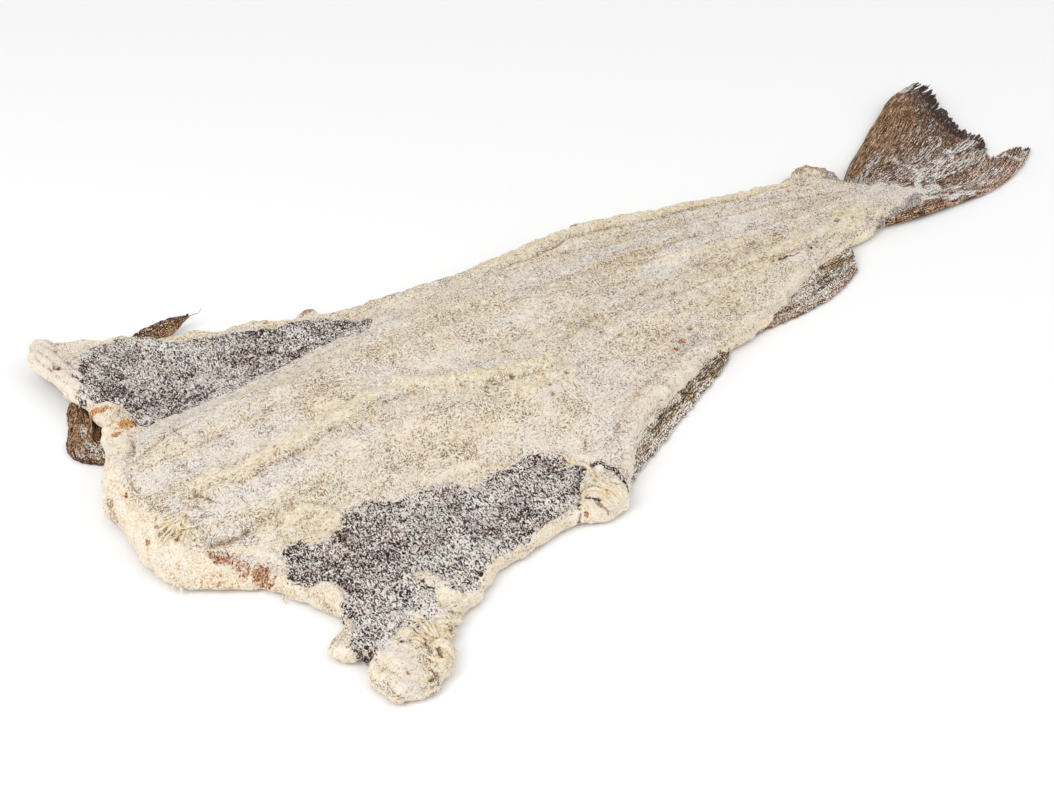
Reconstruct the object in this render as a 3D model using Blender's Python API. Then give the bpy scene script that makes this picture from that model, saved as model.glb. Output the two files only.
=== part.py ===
"""Salted dried cod: headless, split along the belly, opened flat and lying skin side down.

The fish is one piece of food, so it is one closed solid, "cod". It is made as six slabs with
shaped tops that a Boolean joins: the split body with its two belly flaps, the tail fin, the two
anal fins on the near edge, the pectoral fin folded under the collar and the tip of that fin
showing past the far edge.

Plan coordinates are millimetres: "along" runs from the nape to the tail with 0 on the line
through the tips of the belly flaps, "across" runs from the near flap to the far flap with 0 on
the line of the removed backbone, and heights are above the surface the fish lies on. The finished
solid is in metres, its origin is at the middle of the bottom of its box, +X points to the tail
and +Z up.
"""

import math

import bmesh
import bpy
import numpy as np
from mathutils import Matrix, Vector
from mathutils.geometry import delaunay_2d_cdt

MM = 0.001

# Driving dimensions, in millimetres.
NAPE_THICKNESS = 27.0
MID_THICKNESS = 21.0
PEDUNCLE_THICKNESS = 11.0
FLAP_THICKNESS = 8.5
FIN_THICKNESS = 2.4
GROOVE_DEPTH = 4.0
GROOVE_WIDTH = 7.0
COLLAR_LIFT = 9.0
LOIN_HALF_WIDTH = 28.0
LOIN_WIDENING = 18.0
FLAP_SLOPE_WIDTH = 52.0
FIN_GAP = 0.4
TAIL_LIFT = 6.0
TAIL_ROOT_EXTRA = 4.0
ANAL_FIN_RISE = 6.5
FOLD_BASE = 2.6
FOLD_FIRST_STEP = 2.2
FOLD_SECOND_STEP = 2.6
TIP_LIFT = 4.0
RIM_WALL = 1.2
BODY_SPACING = 10.5
FIN_SPACING = 9.0
OUTLINE_STEP = 8.0

# The thickness of the flesh over the backbone line, at places along the fish.
SPINE_PROFILE = (
    (-55, NAPE_THICKNESS - 2),
    (0, NAPE_THICKNESS),
    (110, NAPE_THICKNESS - 1),
    (200, MID_THICKNESS + 1),
    (300, MID_THICKNESS - 2),
    (400, MID_THICKNESS - 5),
    (480, PEDUNCLE_THICKNESS + 2),
    (530, PEDUNCLE_THICKNESS - 2),
    (560, PEDUNCLE_THICKNESS - 6),
)

# Lumps on the flesh: along, across, radius, height.
LUMPS = (
    (164, -134, 11, 4.5),
    (-19, 46, 9, 3.0),
    (8, -113, 8, 2.5),
    (-12, 80, 10, 2.0),
    (24, -156, 6, 2.5),
)

# The outline of the flesh, counter-clockwise from the far corner of the nape.
NAPE = ((-25, 51), (-33, 45), (-42, 25), (-47, 0), (-47, -28), (-43, -48), (-37, -61))
NEAR_FLAP_FRONT = (
    (-22, -73), (-11, -82), (-2, -98), (4, -119), (4, -130),
    (-9, -137), (-13, -146), (-6, -158), (-6, -176), (-5, -190),
)
NEAR_FLAP_EDGE = (
    (5, -193), (22, -192), (30, -185), (37, -173), (48, -164), (65, -157),
    (84, -147), (106, -143), (133, -142), (149, -142), (159, -149), (172, -146), (184, -135),
)
NEAR_SIDE = (
    (202, -120), (220, -108), (262, -88), (312, -74), (350, -67),
    (380, -58), (402, -50), (428, -44), (460, -36), (500, -31), (530, -30),
)
PEDUNCLE_END = ((551, -22), (556, -6), (548, 4), (530, 14), (518, 22))
FAR_SIDE = (
    (513, 40), (504, 54), (480, 49), (431, 58), (401, 69), (342, 85), (300, 89),
    (253, 87), (209, 89), (169, 99), (154, 104), (147, 113), (134, 112),
)
FAR_FLAP_EDGE = (
    (115, 122), (93, 127), (82, 137), (64, 142), (53, 150),
    (45, 161), (26, 166), (8, 169), (1, 179), (-5, 176),
)
COLLAR = ((-15, 158), (-13, 130), (-10, 104), (-12, 82), (-18, 66))

# The fins, counter-clockwise. Each outline reaches into the flesh, where the Boolean joins it.
TAIL_FIN = (
    (505, -22), (535, -33), (565, -37), (596, -36), (625, -29), (659, -11),
    (646, -4), (629, -8), (638, 8), (643, 22), (642, 34), (650, 52), (653, 66), (667, 82),
    (676, 96), (666, 96), (640, 89), (600, 73), (562, 53), (530, 31), (505, 18),
)
FIRST_ANAL_FIN = (
    (196, -127), (227, -112), (267, -93), (307, -79), (325, -74),
    (315, -62), (262, -76), (210, -104), (190, -116),
)
SECOND_ANAL_FIN = (
    (342, -70), (388, -67), (410, -65), (428, -61), (448, -53), (460, -41),
    (446, -34), (415, -38), (385, -46), (350, -56),
)
FOLDED_PECTORAL = (
    (-20, 60), (-27, 72), (-30, 84), (-29, 91), (-18, 110), (-8, 127),
    (10, 124), (30, 112), (34, 92), (24, 72), (0, 58),
)
PECTORAL_TIP = ((44, 150), (66, 147), (78, 150), (98, 161), (86, 159), (66, 164), (50, 165), (40, 156))

FLESH_COLOUR = (0.69, 0.60, 0.48, 1.0)
MEMBRANE_COLOUR = (0.26, 0.22, 0.21, 1.0)
SKIN_COLOUR = (0.33, 0.29, 0.24, 1.0)
FIN_COLOUR = (0.20, 0.14, 0.09, 1.0)


def smooth_step(value):
    """0 below 0, 1 above 1, and an even S-curve between."""
    t = np.clip(value, 0.0, 1.0)
    return t * t * (3.0 - 2.0 * t)


def smooth_outline(landmarks, step):
    """A closed Catmull-Rom curve through the landmarks, with points about one step apart."""
    points = np.array(landmarks, dtype=float)
    count = len(points)
    curve = []
    for i in range(count):
        before, start, end, after = (points[(i + k) % count] for k in (-1, 0, 1, 2))
        parts = max(1, round(np.linalg.norm(end - start) / step))
        for j in range(parts):
            t = j / parts
            curve.append(
                0.5 * (2 * start + (end - before) * t
                       + (2 * before - 5 * start + 4 * end - after) * t**2
                       + (3 * start - before - 3 * end + after) * t**3)
            )
    return np.array(curve)


def distance_to_outline(points, outline):
    """The distance from each point to the nearest side of a closed outline."""
    starts = outline
    sides = np.roll(outline, -1, axis=0) - outline
    lengths = np.maximum((sides**2).sum(axis=1), 1e-9)
    offsets = points[:, None, :] - starts[None, :, :]
    t = np.clip((offsets * sides).sum(axis=2) / lengths, 0.0, 1.0)
    nearest = offsets - t[:, :, None] * sides
    return np.sqrt((nearest**2).sum(axis=2)).min(axis=1)


def inside_outline(points, outline):
    """Whether each point is inside a closed outline, by the crossing rule."""
    x, y = points[:, 0:1], points[:, 1:2]
    x0, y0 = outline[:, 0], outline[:, 1]
    x1, y1 = np.roll(x0, -1), np.roll(y0, -1)
    rise = np.where(y1 == y0, 1e-9, y1 - y0)
    crossed = ((y0 > y) != (y1 > y)) & (x < x0 + (y - y0) * (x1 - x0) / rise)
    return crossed.sum(axis=1) % 2 == 1


def plan_points(outline, spacing, ring_distances):
    """Points inside an outline: rings that follow its edge, then staggered rows."""
    tangents = np.roll(outline, -1, axis=0) - np.roll(outline, 1, axis=0)
    tangents /= np.linalg.norm(tangents, axis=1)[:, None]
    inward = np.column_stack((-tangents[:, 1], tangents[:, 0]))
    candidates = []
    for number, distance in enumerate(ring_distances):
        ring = (outline + inward * distance)[::number + 1]
        kept = inside_outline(ring, outline)
        kept &= distance_to_outline(ring, outline) > 0.85 * distance
        candidates.extend((point, 0.45 * spacing) for point in ring[kept])
    low, high = outline.min(axis=0), outline.max(axis=0)
    rows = np.arange(low[1], high[1], spacing * math.sqrt(0.75))
    for number, y in enumerate(rows):
        x = np.arange(low[0] + (number % 2) * spacing / 2, high[0], spacing)
        row = np.column_stack((x, np.full(len(x), y)))
        kept = inside_outline(row, outline)
        kept &= distance_to_outline(row, outline) > ring_distances[-1] + 0.5 * spacing
        candidates.extend((point, 0.6 * spacing) for point in row[kept])
    chosen = []
    for point, clearance in candidates:
        if all(abs(point[0] - other[0]) + abs(point[1] - other[1]) > clearance for other in chosen):
            chosen.append(point)
    return np.array(chosen)


def material(name, colour, roughness):
    """A plain Principled material."""
    made = bpy.data.materials.new(name)
    made.use_nodes = True
    shader = made.node_tree.nodes["Principled BSDF"]
    shader.inputs["Base Color"].default_value = colour
    shader.inputs["Roughness"].default_value = roughness
    shader.inputs["Metallic"].default_value = 0.0
    made.diffuse_color = colour
    return made


def slab(name, landmarks, spacing, ring_distances, heights, materials, top_material):
    """A closed slab over an outline, between the bottom and top that heights(plan, edge) gives."""
    outline = smooth_outline(landmarks, min(spacing, OUTLINE_STEP))
    rim = len(outline)
    plan = np.vstack((outline, plan_points(outline, spacing, ring_distances)))
    sides = [(i, (i + 1) % rim) for i in range(rim)]
    vectors = [Vector((float(x), float(y))) for x, y in plan]
    flat = delaunay_2d_cdt(vectors, sides, [], 1, 1e-6)
    plan = np.array([tuple(v) for v in flat[0]])
    triangles = [tuple(face) for face in flat[2]]
    edge = distance_to_outline(plan, outline)
    bottom, top = heights(plan, edge)
    top = np.maximum(top, bottom + RIM_WALL)
    mesh = bpy.data.meshes.new(name)
    built = bmesh.new()
    low = [built.verts.new((x * MM, y * MM, z * MM)) for (x, y), z in zip(plan, bottom)]
    high = [built.verts.new((x * MM, y * MM, z * MM)) for (x, y), z in zip(plan, top)]
    dark = top_material(plan)
    directed = set()
    for a, b, c in triangles:
        face = built.faces.new((high[a], high[b], high[c]))
        face.material_index = int(max(dark[a], dark[b], dark[c]))
        face = built.faces.new((low[c], low[b], low[a]))
        face.material_index = len(materials) - 1
        directed.update(((a, b), (b, c), (c, a)))
    for a, b in directed:
        if (b, a) not in directed:
            built.faces.new((low[a], low[b], high[b]))
            built.faces.new((low[a], high[b], high[a]))
    bmesh.ops.recalc_face_normals(built, faces=built.faces)
    built.to_mesh(mesh)
    built.free()
    for made in materials:
        mesh.materials.append(made)
    piece = bpy.data.objects.new(name, mesh)
    bpy.context.scene.collection.objects.link(piece)
    return piece


def flap_share(x, y):
    """1 on the thin belly flaps, 0 on the thick loins and the tail half, with a slope between."""
    loin = LOIN_HALF_WIDTH + LOIN_WIDENING * smooth_step((x - 100.0) / 70.0)
    beyond = (np.abs(y) - loin) / FLAP_SLOPE_WIDTH
    return smooth_step(beyond) * (1.0 - smooth_step((x - 160.0) / 60.0))


def groove_line(x):
    """Where the cut beside the backbone lies across the fish."""
    return -16.0 + 13.0 * smooth_step((x - 20.0) / 90.0) - 28.0 * smooth_step((x - 110.0) / 80.0)


def lump_heights(x, y):
    """The few rounded lumps that stand on the flesh."""
    return sum(
        height * np.exp(-((x - along) ** 2 + (y - across) ** 2) / radius**2)
        for along, across, radius, height in LUMPS
    )


def body_heights(plan, edge):
    """The split body: two rounded loins, thin flaps, a raised far collar and a rounded edge."""
    x, y = plan[:, 0], plan[:, 1]
    stations = np.array(SPINE_PROFILE, dtype=float)
    thickness = np.interp(x, stations[:, 0], stations[:, 1])
    loin_middle = 30.0 - 12.0 * smooth_step((x - 150.0) / 350.0)
    off_middle = np.minimum(np.abs(np.abs(y) - loin_middle) / loin_middle, 1.5)
    thickness = thickness * (1.0 - 0.12 * off_middle**2)
    groove = np.exp(-(((y - groove_line(x)) / GROOVE_WIDTH) ** 2))
    thickness = thickness - GROOVE_DEPTH * groove * (1.0 - smooth_step((x - 380.0) / 120.0))
    share = flap_share(x, y)
    thickness = thickness * (1.0 - share) + FLAP_THICKNESS * share
    thickness += 0.7 * np.sin(x / 17.0 + y / 31.0) + 0.6 * np.sin(y / 12.0 - x / 43.0)
    thickness += lump_heights(x, y)
    collar = smooth_step((38.0 - x) / 45.0) * smooth_step((y - 50.0) / 25.0)
    lift = COLLAR_LIFT * collar
    radius = np.clip(0.62 * thickness, 4.5, 15.0)
    rounding = np.sqrt(np.clip(1.0 - (1.0 - np.clip(edge / radius, 0.0, 1.0)) ** 2, 0.0, 1.0))
    shoulder = 0.38 * thickness
    under = 0.22 * thickness * (1.0 - smooth_step(edge / (0.8 * radius)))
    return lift + under, lift + shoulder + (thickness - shoulder) * rounding


def tail_heights(plan, edge):
    """The tail fin: low at the near lobe, lifted at the far one, thickest at its root."""
    x, y = plan[:, 0], plan[:, 1]
    out = smooth_step((x - 535.0) / 120.0)
    lift = FIN_GAP + TAIL_LIFT * out * smooth_step((y + 25.0) / 110.0)
    root = TAIL_ROOT_EXTRA * (1.0 - smooth_step((x - 540.0) / 45.0))
    ripple = 0.35 * np.sin(np.arctan2(y - 2.0, x - 470.0) * 90.0) * out
    thin = np.clip(edge / 4.0, 0.0, 1.0)
    return lift, lift + RIM_WALL + (FIN_THICKNESS - RIM_WALL + root + ripple) * thin


def anal_fin_heights(plan, edge):
    """An anal fin folded down beside the body, sloping from the flesh to the floor."""
    rise = ANAL_FIN_RISE * smooth_step((edge - 1.0) / 12.0)
    return np.full(len(plan), FIN_GAP), FIN_GAP + FIN_THICKNESS + rise


def folded_pectoral_heights(plan, edge):
    """The pectoral fin base lying folded on the floor under the collar, in two steps."""
    rise = FOLD_FIRST_STEP * smooth_step((edge - 1.0) / 2.5)
    rise += FOLD_SECOND_STEP * smooth_step((edge - 7.0) / 5.0)
    return np.full(len(plan), FIN_GAP), FOLD_BASE + rise


def pectoral_tip_heights(plan, edge):
    """The tip of the pectoral fin, leaning up past the far edge."""
    lift = 2.0 + TIP_LIFT * smooth_step((plan[:, 0] - 55.0) / 40.0)
    return lift, lift + RIM_WALL + np.clip(edge * 0.4, 0.0, 1.6)


def membrane_zone(plan):
    """The two flap areas that keep the dark belly lining, inside a cream margin."""
    x, y = plan[:, 0], plan[:, 1]
    near = (y < -72.0 - 20.0 * smooth_step((x - 100.0) / 60.0)) & (y > -152.0) & (x > -5.0)
    far = (y > 70.0 + 16.0 * smooth_step((x - 90.0) / 70.0)) & (x > -4.0)
    return (near | far) & (x < 170.0)


def no_membrane(plan):
    """Fins have one kind of top surface."""
    return np.zeros(len(plan), dtype=bool)


def join(body, pieces):
    """Joins the pieces to the body with exact Boolean unions, and removes the pieces."""
    for piece in pieces:
        union = body.modifiers.new("join_" + piece.name, "BOOLEAN")
        union.operation = "UNION"
        union.solver = "EXACT"
        union.material_mode = "TRANSFER"
        union.object = piece
    depsgraph = bpy.context.evaluated_depsgraph_get()
    joined = bpy.data.meshes.new_from_object(body.evaluated_get(depsgraph))
    body.modifiers.clear()
    body.data = joined
    for piece in pieces:
        bpy.data.objects.remove(piece, do_unlink=True)


def centre_on_box(piece):
    """Moves the mesh so that the origin is at the middle of the bottom of its box."""
    corners = np.array([vertex.co for vertex in piece.data.vertices])
    low, high = corners.min(axis=0), corners.max(axis=0)
    middle = (low + high) / 2
    piece.data.transform(Matrix.Translation((-middle[0], -middle[1], -low[2])))


def build():
    """The whole fish."""
    for thing in list(bpy.data.objects):
        bpy.data.objects.remove(thing, do_unlink=True)
    flesh = material("flesh", FLESH_COLOUR, 0.85)
    membrane = material("membrane", MEMBRANE_COLOUR, 0.75)
    skin = material("skin", SKIN_COLOUR, 0.6)
    fin = material("fin", FIN_COLOUR, 0.65)
    body_outline = (NAPE + NEAR_FLAP_FRONT + NEAR_FLAP_EDGE + NEAR_SIDE + PEDUNCLE_END
                    + FAR_SIDE + FAR_FLAP_EDGE + COLLAR)
    body = slab("cod", body_outline, BODY_SPACING, (1.2, 5.0, 11.0), body_heights,
                (flesh, membrane, skin), membrane_zone)
    fins = [
        slab(name, outline, spacing, rings, heights, (fin, fin), no_membrane)
        for name, outline, spacing, rings, heights in (
            ("tail_fin", TAIL_FIN, FIN_SPACING, (4.0,), tail_heights),
            ("first_anal_fin", FIRST_ANAL_FIN, FIN_SPACING, (4.0,), anal_fin_heights),
            ("second_anal_fin", SECOND_ANAL_FIN, FIN_SPACING, (4.0,), anal_fin_heights),
            ("folded_pectoral", FOLDED_PECTORAL, FIN_SPACING, (2.0, 7.0), folded_pectoral_heights),
            ("pectoral_tip", PECTORAL_TIP, FIN_SPACING, (3.0,), pectoral_tip_heights),
        )
    ]
    join(body, fins)
    centre_on_box(body)
    body.data.shade_smooth()
    body.data.set_sharp_from_angle(angle=math.radians(40.0))


build()
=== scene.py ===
"""Looks of the salted dried cod: a split, headless fish lying skin side down.

Shapes are worked out in the fish's own plan, in millimetres: x runs from the nape to the tail
with 0 on the line through the flap tips, y runs from the near flap to the far flap with 0 on
the line from flap tips to tail root, and z is the height above the floor. place() moves them
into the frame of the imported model, in metres.
"""

import math

import bpy
import numpy as np
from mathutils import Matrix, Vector
from mathutils.bvhtree import BVHTree
from mathutils.geometry import delaunay_2d_cdt


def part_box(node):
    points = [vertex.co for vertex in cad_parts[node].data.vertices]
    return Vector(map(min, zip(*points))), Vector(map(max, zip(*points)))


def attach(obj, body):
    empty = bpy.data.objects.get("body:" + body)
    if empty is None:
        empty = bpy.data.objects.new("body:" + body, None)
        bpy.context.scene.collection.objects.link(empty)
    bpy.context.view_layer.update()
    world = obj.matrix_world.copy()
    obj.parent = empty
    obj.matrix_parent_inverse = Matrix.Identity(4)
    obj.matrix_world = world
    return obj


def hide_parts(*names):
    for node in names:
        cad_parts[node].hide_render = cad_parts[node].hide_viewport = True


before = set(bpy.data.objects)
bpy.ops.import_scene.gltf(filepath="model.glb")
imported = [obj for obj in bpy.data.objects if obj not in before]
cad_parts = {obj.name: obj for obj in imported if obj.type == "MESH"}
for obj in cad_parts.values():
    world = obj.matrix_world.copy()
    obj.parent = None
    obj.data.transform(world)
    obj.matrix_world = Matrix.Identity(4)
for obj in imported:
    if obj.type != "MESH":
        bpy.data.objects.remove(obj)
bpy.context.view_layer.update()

MM = 0.001
BODY = "root"

# The nape's front and the near flap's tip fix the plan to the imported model.
NAPE_FRONT_X = -47.6
NEAR_TIP_Y = -193.1
LOW_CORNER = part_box("cod")[0]
SHIFT = np.array([LOW_CORNER[0] / MM - NAPE_FRONT_X, LOW_CORNER[1] / MM - NEAR_TIP_Y, 0.0])

# Thicknesses of the flesh and how far its edges lift, in millimetres.
NAPE_THICKNESS = 27.0
MID_THICKNESS = 21.0
PEDUNCLE_THICKNESS = 11.0
FLAP_THICKNESS = 8.5
COLLAR_LIFT = 8.2
TAIL_LIFT = 6.0
LOWEST_FLESH = 0.3

# The skin under the flesh, and the fins.
SKIN_THICKNESS = 0.8
SKIN_OVERLAP = 1.0
SKIN_INSET = 5.0
TAIL_THICKNESS = 1.2
TAIL_RAYS = 44.0
FIN_THICKNESS = 0.9
LEAF_RIBS = 5.0
ANAL_FIN_EDGE = 1.3

# Where the tail starts to lift, and the least height of its top.
TAIL_FRONT = 535.0
LOWEST_TAIL = 1.6

# The length and width that the streaks of the tail and of the pectoral's leaf are laid out on.
TAIL_RUN = (120.0, 105.0)
LEAF_RUN = (45.0, 12.0)

# How fine the flesh's mesh is, how often it is smoothed, and the share of it left underneath.
VOXEL = 1.3
PLAN_SPACING = 4.0
OUTLINE_STEP = 2.0
SMOOTHING = 3
UNDERSIDE_SHARE = 0.08

# How many points the meshes of the fins have along and across them.
TAIL_GRID = (92, 460)
ANAL_FIN_GRID = (200, 26)
LEAF_GRID = (90, 30)

# The size of the noise's table, and a height above all of the fish.
NOISE_CELLS = 1024
ABOVE = 80.0

# Salt: the size of its crystals, and how many at most are on the flesh and on each lining.
FLESH_SALT_SIZE = 0.42
LINING_SALT_SIZE = 0.5
FLESH_SALT = 19000
NEAR_LINING_SALT = 7000
FAR_LINING_SALT = 6000

# Colours are given as they look in this light, and this turns them into the surface's own.
GAIN = 0.94

# Where a look's share and its grain add up to this, its flecks show by half.
FLECK_LEVEL = 0.72

# The run of the salt crust's grain across the fish, and the two ways that its fibres curl, in
# radians from its length.
SLANT = math.radians(51.0)
ALONG = math.radians(-6.0)
ACROSS = math.radians(81.0)

# Where bare flesh is torn: from one x to another, then from one y to another.
TORN_AREAS = ((150, 226, -62, -5), (-60, 62, -200, -146), (146, 188, -200, -116))

# The looks that features give to the flesh and to the fins, for their materials to follow. The flesh's last
# look is painted shade, which darkens its colour.
LOOKS = ("cream", "pale", "pink", "grey", "brown", "orange", "blood", "dark", "skin", "painted_shade")
FIN_LOOKS = ("crust", "rosy", "olive", "rust", "umber", "dark", "frost")

# The thickness of the flesh at places along the fish.
SPINE_PROFILE = (
    (-55, NAPE_THICKNESS - 2),
    (0, NAPE_THICKNESS),
    (110, NAPE_THICKNESS - 1),
    (200, MID_THICKNESS + 1),
    (300, MID_THICKNESS - 2),
    (400, MID_THICKNESS - 5),
    (480, PEDUNCLE_THICKNESS + 2),
    (530, PEDUNCLE_THICKNESS - 2),
    (560, PEDUNCLE_THICKNESS - 6),
)

# Half the width of the fish at places along it.
HALF_WIDTHS = ((-50, 60), (0, 95), (150, 98), (300, 84), (400, 62), (480, 40), (560, 27))

# The outline of the flesh, counter-clockwise from the far corner of the nape.
NAPE = (
    (-25, 51), (-32, 45), (-38, 33), (-41, 24), (-44, 18), (-45, 2), (-47, -15),
    (-49, -32), (-46, -48), (-42, -57), (-36, -63),
)
NEAR_FLAP_FRONT = (
    (-22, -73), (-15, -80), (-9, -85), (-5, -93), (-1, -101), (1, -109), (4, -117), (6, -125),
    (3, -131), (-3, -135), (-9, -137), (-12, -143), (-8, -153), (-3, -157), (-5, -166),
    (-7, -178), (-9, -187), (-5, -193),
)
NEAR_FLAP_EDGE = (
    (4, -195), (14, -194), (21, -191), (28, -189), (30, -183), (37, -180), (37, -174),
    (44, -168), (47, -163), (56, -161), (66, -157), (75, -153), (84, -148), (92, -144),
    (106, -144), (120, -143), (134, -142), (146, -141), (151, -146), (159, -149), (168, -149),
    (178, -144), (185, -136),
)
NEAR_SIDE = (
    (202, -120), (220, -108), (262, -88), (312, -74), (332, -72), (350, -68),
    (380, -58), (402, -50), (428, -44), (460, -36), (500, -31), (530, -30),
)
PEDUNCLE_END = ((551, -22), (556, -6), (548, 4), (530, 14), (518, 22))
FAR_SIDE = (
    (515, 30), (517, 41), (513, 53), (504, 58), (494, 53), (480, 51), (456, 54), (431, 59),
    (414, 68), (401, 70), (372, 78), (350, 85), (334, 93), (324, 90), (300, 90),
    (253, 88), (230, 88), (209, 91), (185, 98), (169, 102), (154, 107), (150, 114), (144, 115),
    (138, 113), (130, 115),
)
FAR_FLAP_EDGE = (
    (119, 122), (106, 126), (93, 128), (86, 134), (82, 140), (71, 143), (62, 145),
    (53, 154), (46, 162), (34, 165), (26, 168), (16, 169), (8, 170), (1, 178), (-5, 175),
)
COLLAR = ((-13, 165), (-15, 157), (-13, 130), (-10, 104), (-12, 82), (-18, 66))
FLESH_OUTLINE = (NAPE + NEAR_FLAP_FRONT + NEAR_FLAP_EDGE + NEAR_SIDE + PEDUNCLE_END
                 + FAR_SIDE + FAR_FLAP_EDGE + COLLAR)

# The dark belly lining that is left on the two flaps.
NEAR_LINING = (
    (11, -69), (21, -71), (30, -75), (42, -73), (48, -67), (59, -66), (69, -68), (77, -72),
    (92, -74), (106, -74), (112, -79), (116, -86), (124, -88), (130, -84), (142, -86), (157, -86),
    (165, -89), (170, -97), (170, -106), (174, -112), (170, -118), (162, -122), (160, -128),
    (153, -133), (145, -132), (126, -137), (110, -141), (96, -141), (79, -145), (69, -153),
    (59, -150), (56, -138), (52, -126), (49, -128), (50, -145), (46, -153), (32, -159),
    (17, -156), (6, -161), (-1, -159.5), (-6, -151), (0, -143), (6, -136), (8, -125), (14, -116),
    (15, -104), (4, -102), (-1, -91), (3, -80),
)
FAR_LINING = (
    (-10, 109), (-4, 114), (6, 136), (16, 150), (30, 157), (46, 157), (57, 145), (62, 135),
    (81, 125), (101, 117), (125, 110), (141, 103), (151, 96), (163, 82), (164, 72), (153, 62),
    (143, 69), (128, 73), (108, 73), (89, 71), (69, 65), (53, 65), (28, 65), (14, 62), (5, 58),
    (2, 66), (5, 77), (1, 88), (-8, 96),
)

# What is worked into the flesh along a path: the path, half its width, how far it stands up
# (below zero, how deep it is cut), the look it has and how strongly.
NAPE_FACE = (
    (-27, 53), (-36, 40), (-41, 22), (-45, 5), (-45, -18), (-43, -43), (-33, -62), (-14, -82), (-2, -98),
)
COLLAR_BAND = ((-7, 172), (-11, 146), (-12, 125), (-10, 109), (-11, 88), (-16, 63))
STREAK = (
    (-8, -15), (5, -15), (16, -21), (28, -17), (42, -16), (59, -12), (76, -8), (91, -8),
    (108, -2), (129, -7), (149, -16), (169, -25),
)
NEAR_RIDGE = (
    (318, -70), (309, -72), (290, -78), (268, -85), (252, -89), (235, -95), (222, -101), (212, -107),
    (204, -115), (196, -122), (188, -128),
)
NAPE_STROKES = (
    (NAPE_FACE, 15, 0.4, "pale", 1.0),
    (STREAK, 6.5, 1.2, "cream", 1.0),
    # Painted shadow: a brown cut along the near side of the streak's ridge.
    (((-14, -22), (0, -22), (14, -27), (30, -24), (46, -23), (64, -19), (84, -15)), 2.4, -1.2, "brown", 0.5),
    (((-5, -32), (14, -32), (32, -30), (50, -28), (72, -24)), 5, -0.6, "grey", 0.9),
    (((-24, 23), (-5, 30), (12, 36), (32, 39)), 2.0, -1.3, "brown", 0.55),
    (((-19, 16), (-10, 15), (4, 15), (33, 17), (48, 20), (69, 22)), 2.2, -0.8, "brown", 0.45),
    (((-16, 20), (4, 22), (33, 25), (55, 29), (80, 33)), 4.0, 0.8, "cream", 0.45),
    (((-22, -49), (-7, -55), (12, -51), (27, -50), (55, -47)), 2.2, -1.0, "brown", 0.45),
    (((-12, -42), (8, -44), (30, -42), (62, -40), (95, -38)), 4.0, 0.5, "cream", 0.35),
    (((-22, 4), (-5, 2), (11, 0), (29, 3), (60, 6)), 14, 0.0, "grey", 0.9),
    (((-19, -37), (-1, -37), (37, -35), (63, -34), (89, -33)), 10, 0.0, "grey", 0.8),
    (((0, 50), (20, 52), (40, 56), (58, 58)), 13, 0.0, "grey", 1.0),
    (((-21, -19), (-24, -19), (-24, -28)), 5, 0.3, "grey", 1.0),
    (((58, 47), (70, 56), (80, 62), (98, 69)), 1.4, -0.9, "dark", 0.6),
    (((40, 46), (58, 44), (82, 47), (108, 52), (130, 50)), 5, 0.7, "cream", 0.6),
    (((-31, 11), (-32, 7), (-32, 3)), 0.9, -1.2, "brown", 0.8),
    (((-43, 17), (-43, 13), (-44, 8), (-45, 3)), 2.0, -1.8, "brown", 0.6),
    (((-38, -26), (-32, -22), (-28, -20)), 1.8, -1.1, "brown", 0.5),
    (((-27, -28), (-23, -28), (-18, -29), (-14, -33)), 1.5, -1.1, "brown", 0.5),
    (((-11, -18), (-11, -22), (-10, -26), (-7, -31)), 1.2, -1.3, "brown", 0.8),
    (((-6, -24), (0, -23), (5, -25)), 4.5, 1.3, "pale", 0.7),
    (((-21, -52), (-17, -53), (-11, -54), (-5, -54), (0, -53)), 1.3, -1.3, "brown", 0.8),
    (((-12, -59), (-4, -63), (2, -70), (3, -78)), 3.6, 0.9, "pale", 1.1),
    (((-24, -56), (-22, -59), (-19, -62)), 2.4, -0.6, "blood", 0.72),
    (((-19, -61), (-17, -66), (-14, -72), (-11, -79), (-8, -84)), 6.5, -0.4, "blood", 0.6),
    (((-26, -50), (-18, -58), (-10, -68), (-3, -82)), 7.0, 0.0, "orange", 0.36),
    (((-35, -62), (-24, -70), (-13, -79), (-6, -92)), 4.0, 0.0, "orange", 0.46),
    (((20, -2), (50, -8), (90, 4)), 12, 0.0, "pale", 0.42),
    (((55, -32), (85, -36), (120, -40)), 14, 0.0, "pale", 0.42),
    (((-30, -52), (-34, -44), (-36, -34)), 1.4, -0.9, "brown", 0.45),
    (((-36, 20), (-38, 8), (-38, -6), (-40, -18)), 1.3, -0.9, "orange", 0.35),
    (((-24, 30), (-28, 18), (-30, 4), (-31, -10)), 1.8, -0.9, "brown", 0.35),
)
COLLAR_STROKES = (
    (COLLAR_BAND, 15, 1.0, "pale", 0.6),
    (((-3, 168), (-6, 150), (-6, 132), (-4, 112), (-5, 100)), 8, 0.6, "pink", 0.7),
    (((-11, 158), (-10, 140), (-9, 122), (-8, 108)), 1.0, -1.1, "brown", 0.5),
    (((-7, 160), (-5, 142), (-4, 124), (-3, 112)), 1.0, -1.0, "brown", 0.4),
    (((0, 162), (2, 148), (1, 132)), 1.1, -0.9, "brown", 0.35),
    (((-12, 93), (-10, 89), (-7, 86), (-3, 84)), 3.6, -0.4, "orange", 0.95),
    (((2, 84), (-3, 80), (-7, 74), (-8, 66)), 8, 0.3, "orange", 0.42),
    (((-11, 75), (-15, 66), (-18, 58), (-26, 40), (-28, 35)), 3.2, 1.0, "pale", 1.0),
    # Painted shadow: a brown cut along the edge of the pale lump.
    (((-12, 49), (-13, 40), (-16, 34), (-20, 28), (-24, 27)), 1.3, -1.8, "brown", 0.6),
    (((-6, 56), (-7, 47), (-5, 40)), 1.8, -1.2, "grey", 0.8),
    (((12, 165), (24, 164), (36, 161)), 7, 0.5, "pale", 0.8),
    (((50, 154), (62, 142), (84, 134), (104, 125), (128, 115)), 5, 0.5, "cream", 1.0),
)
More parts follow.
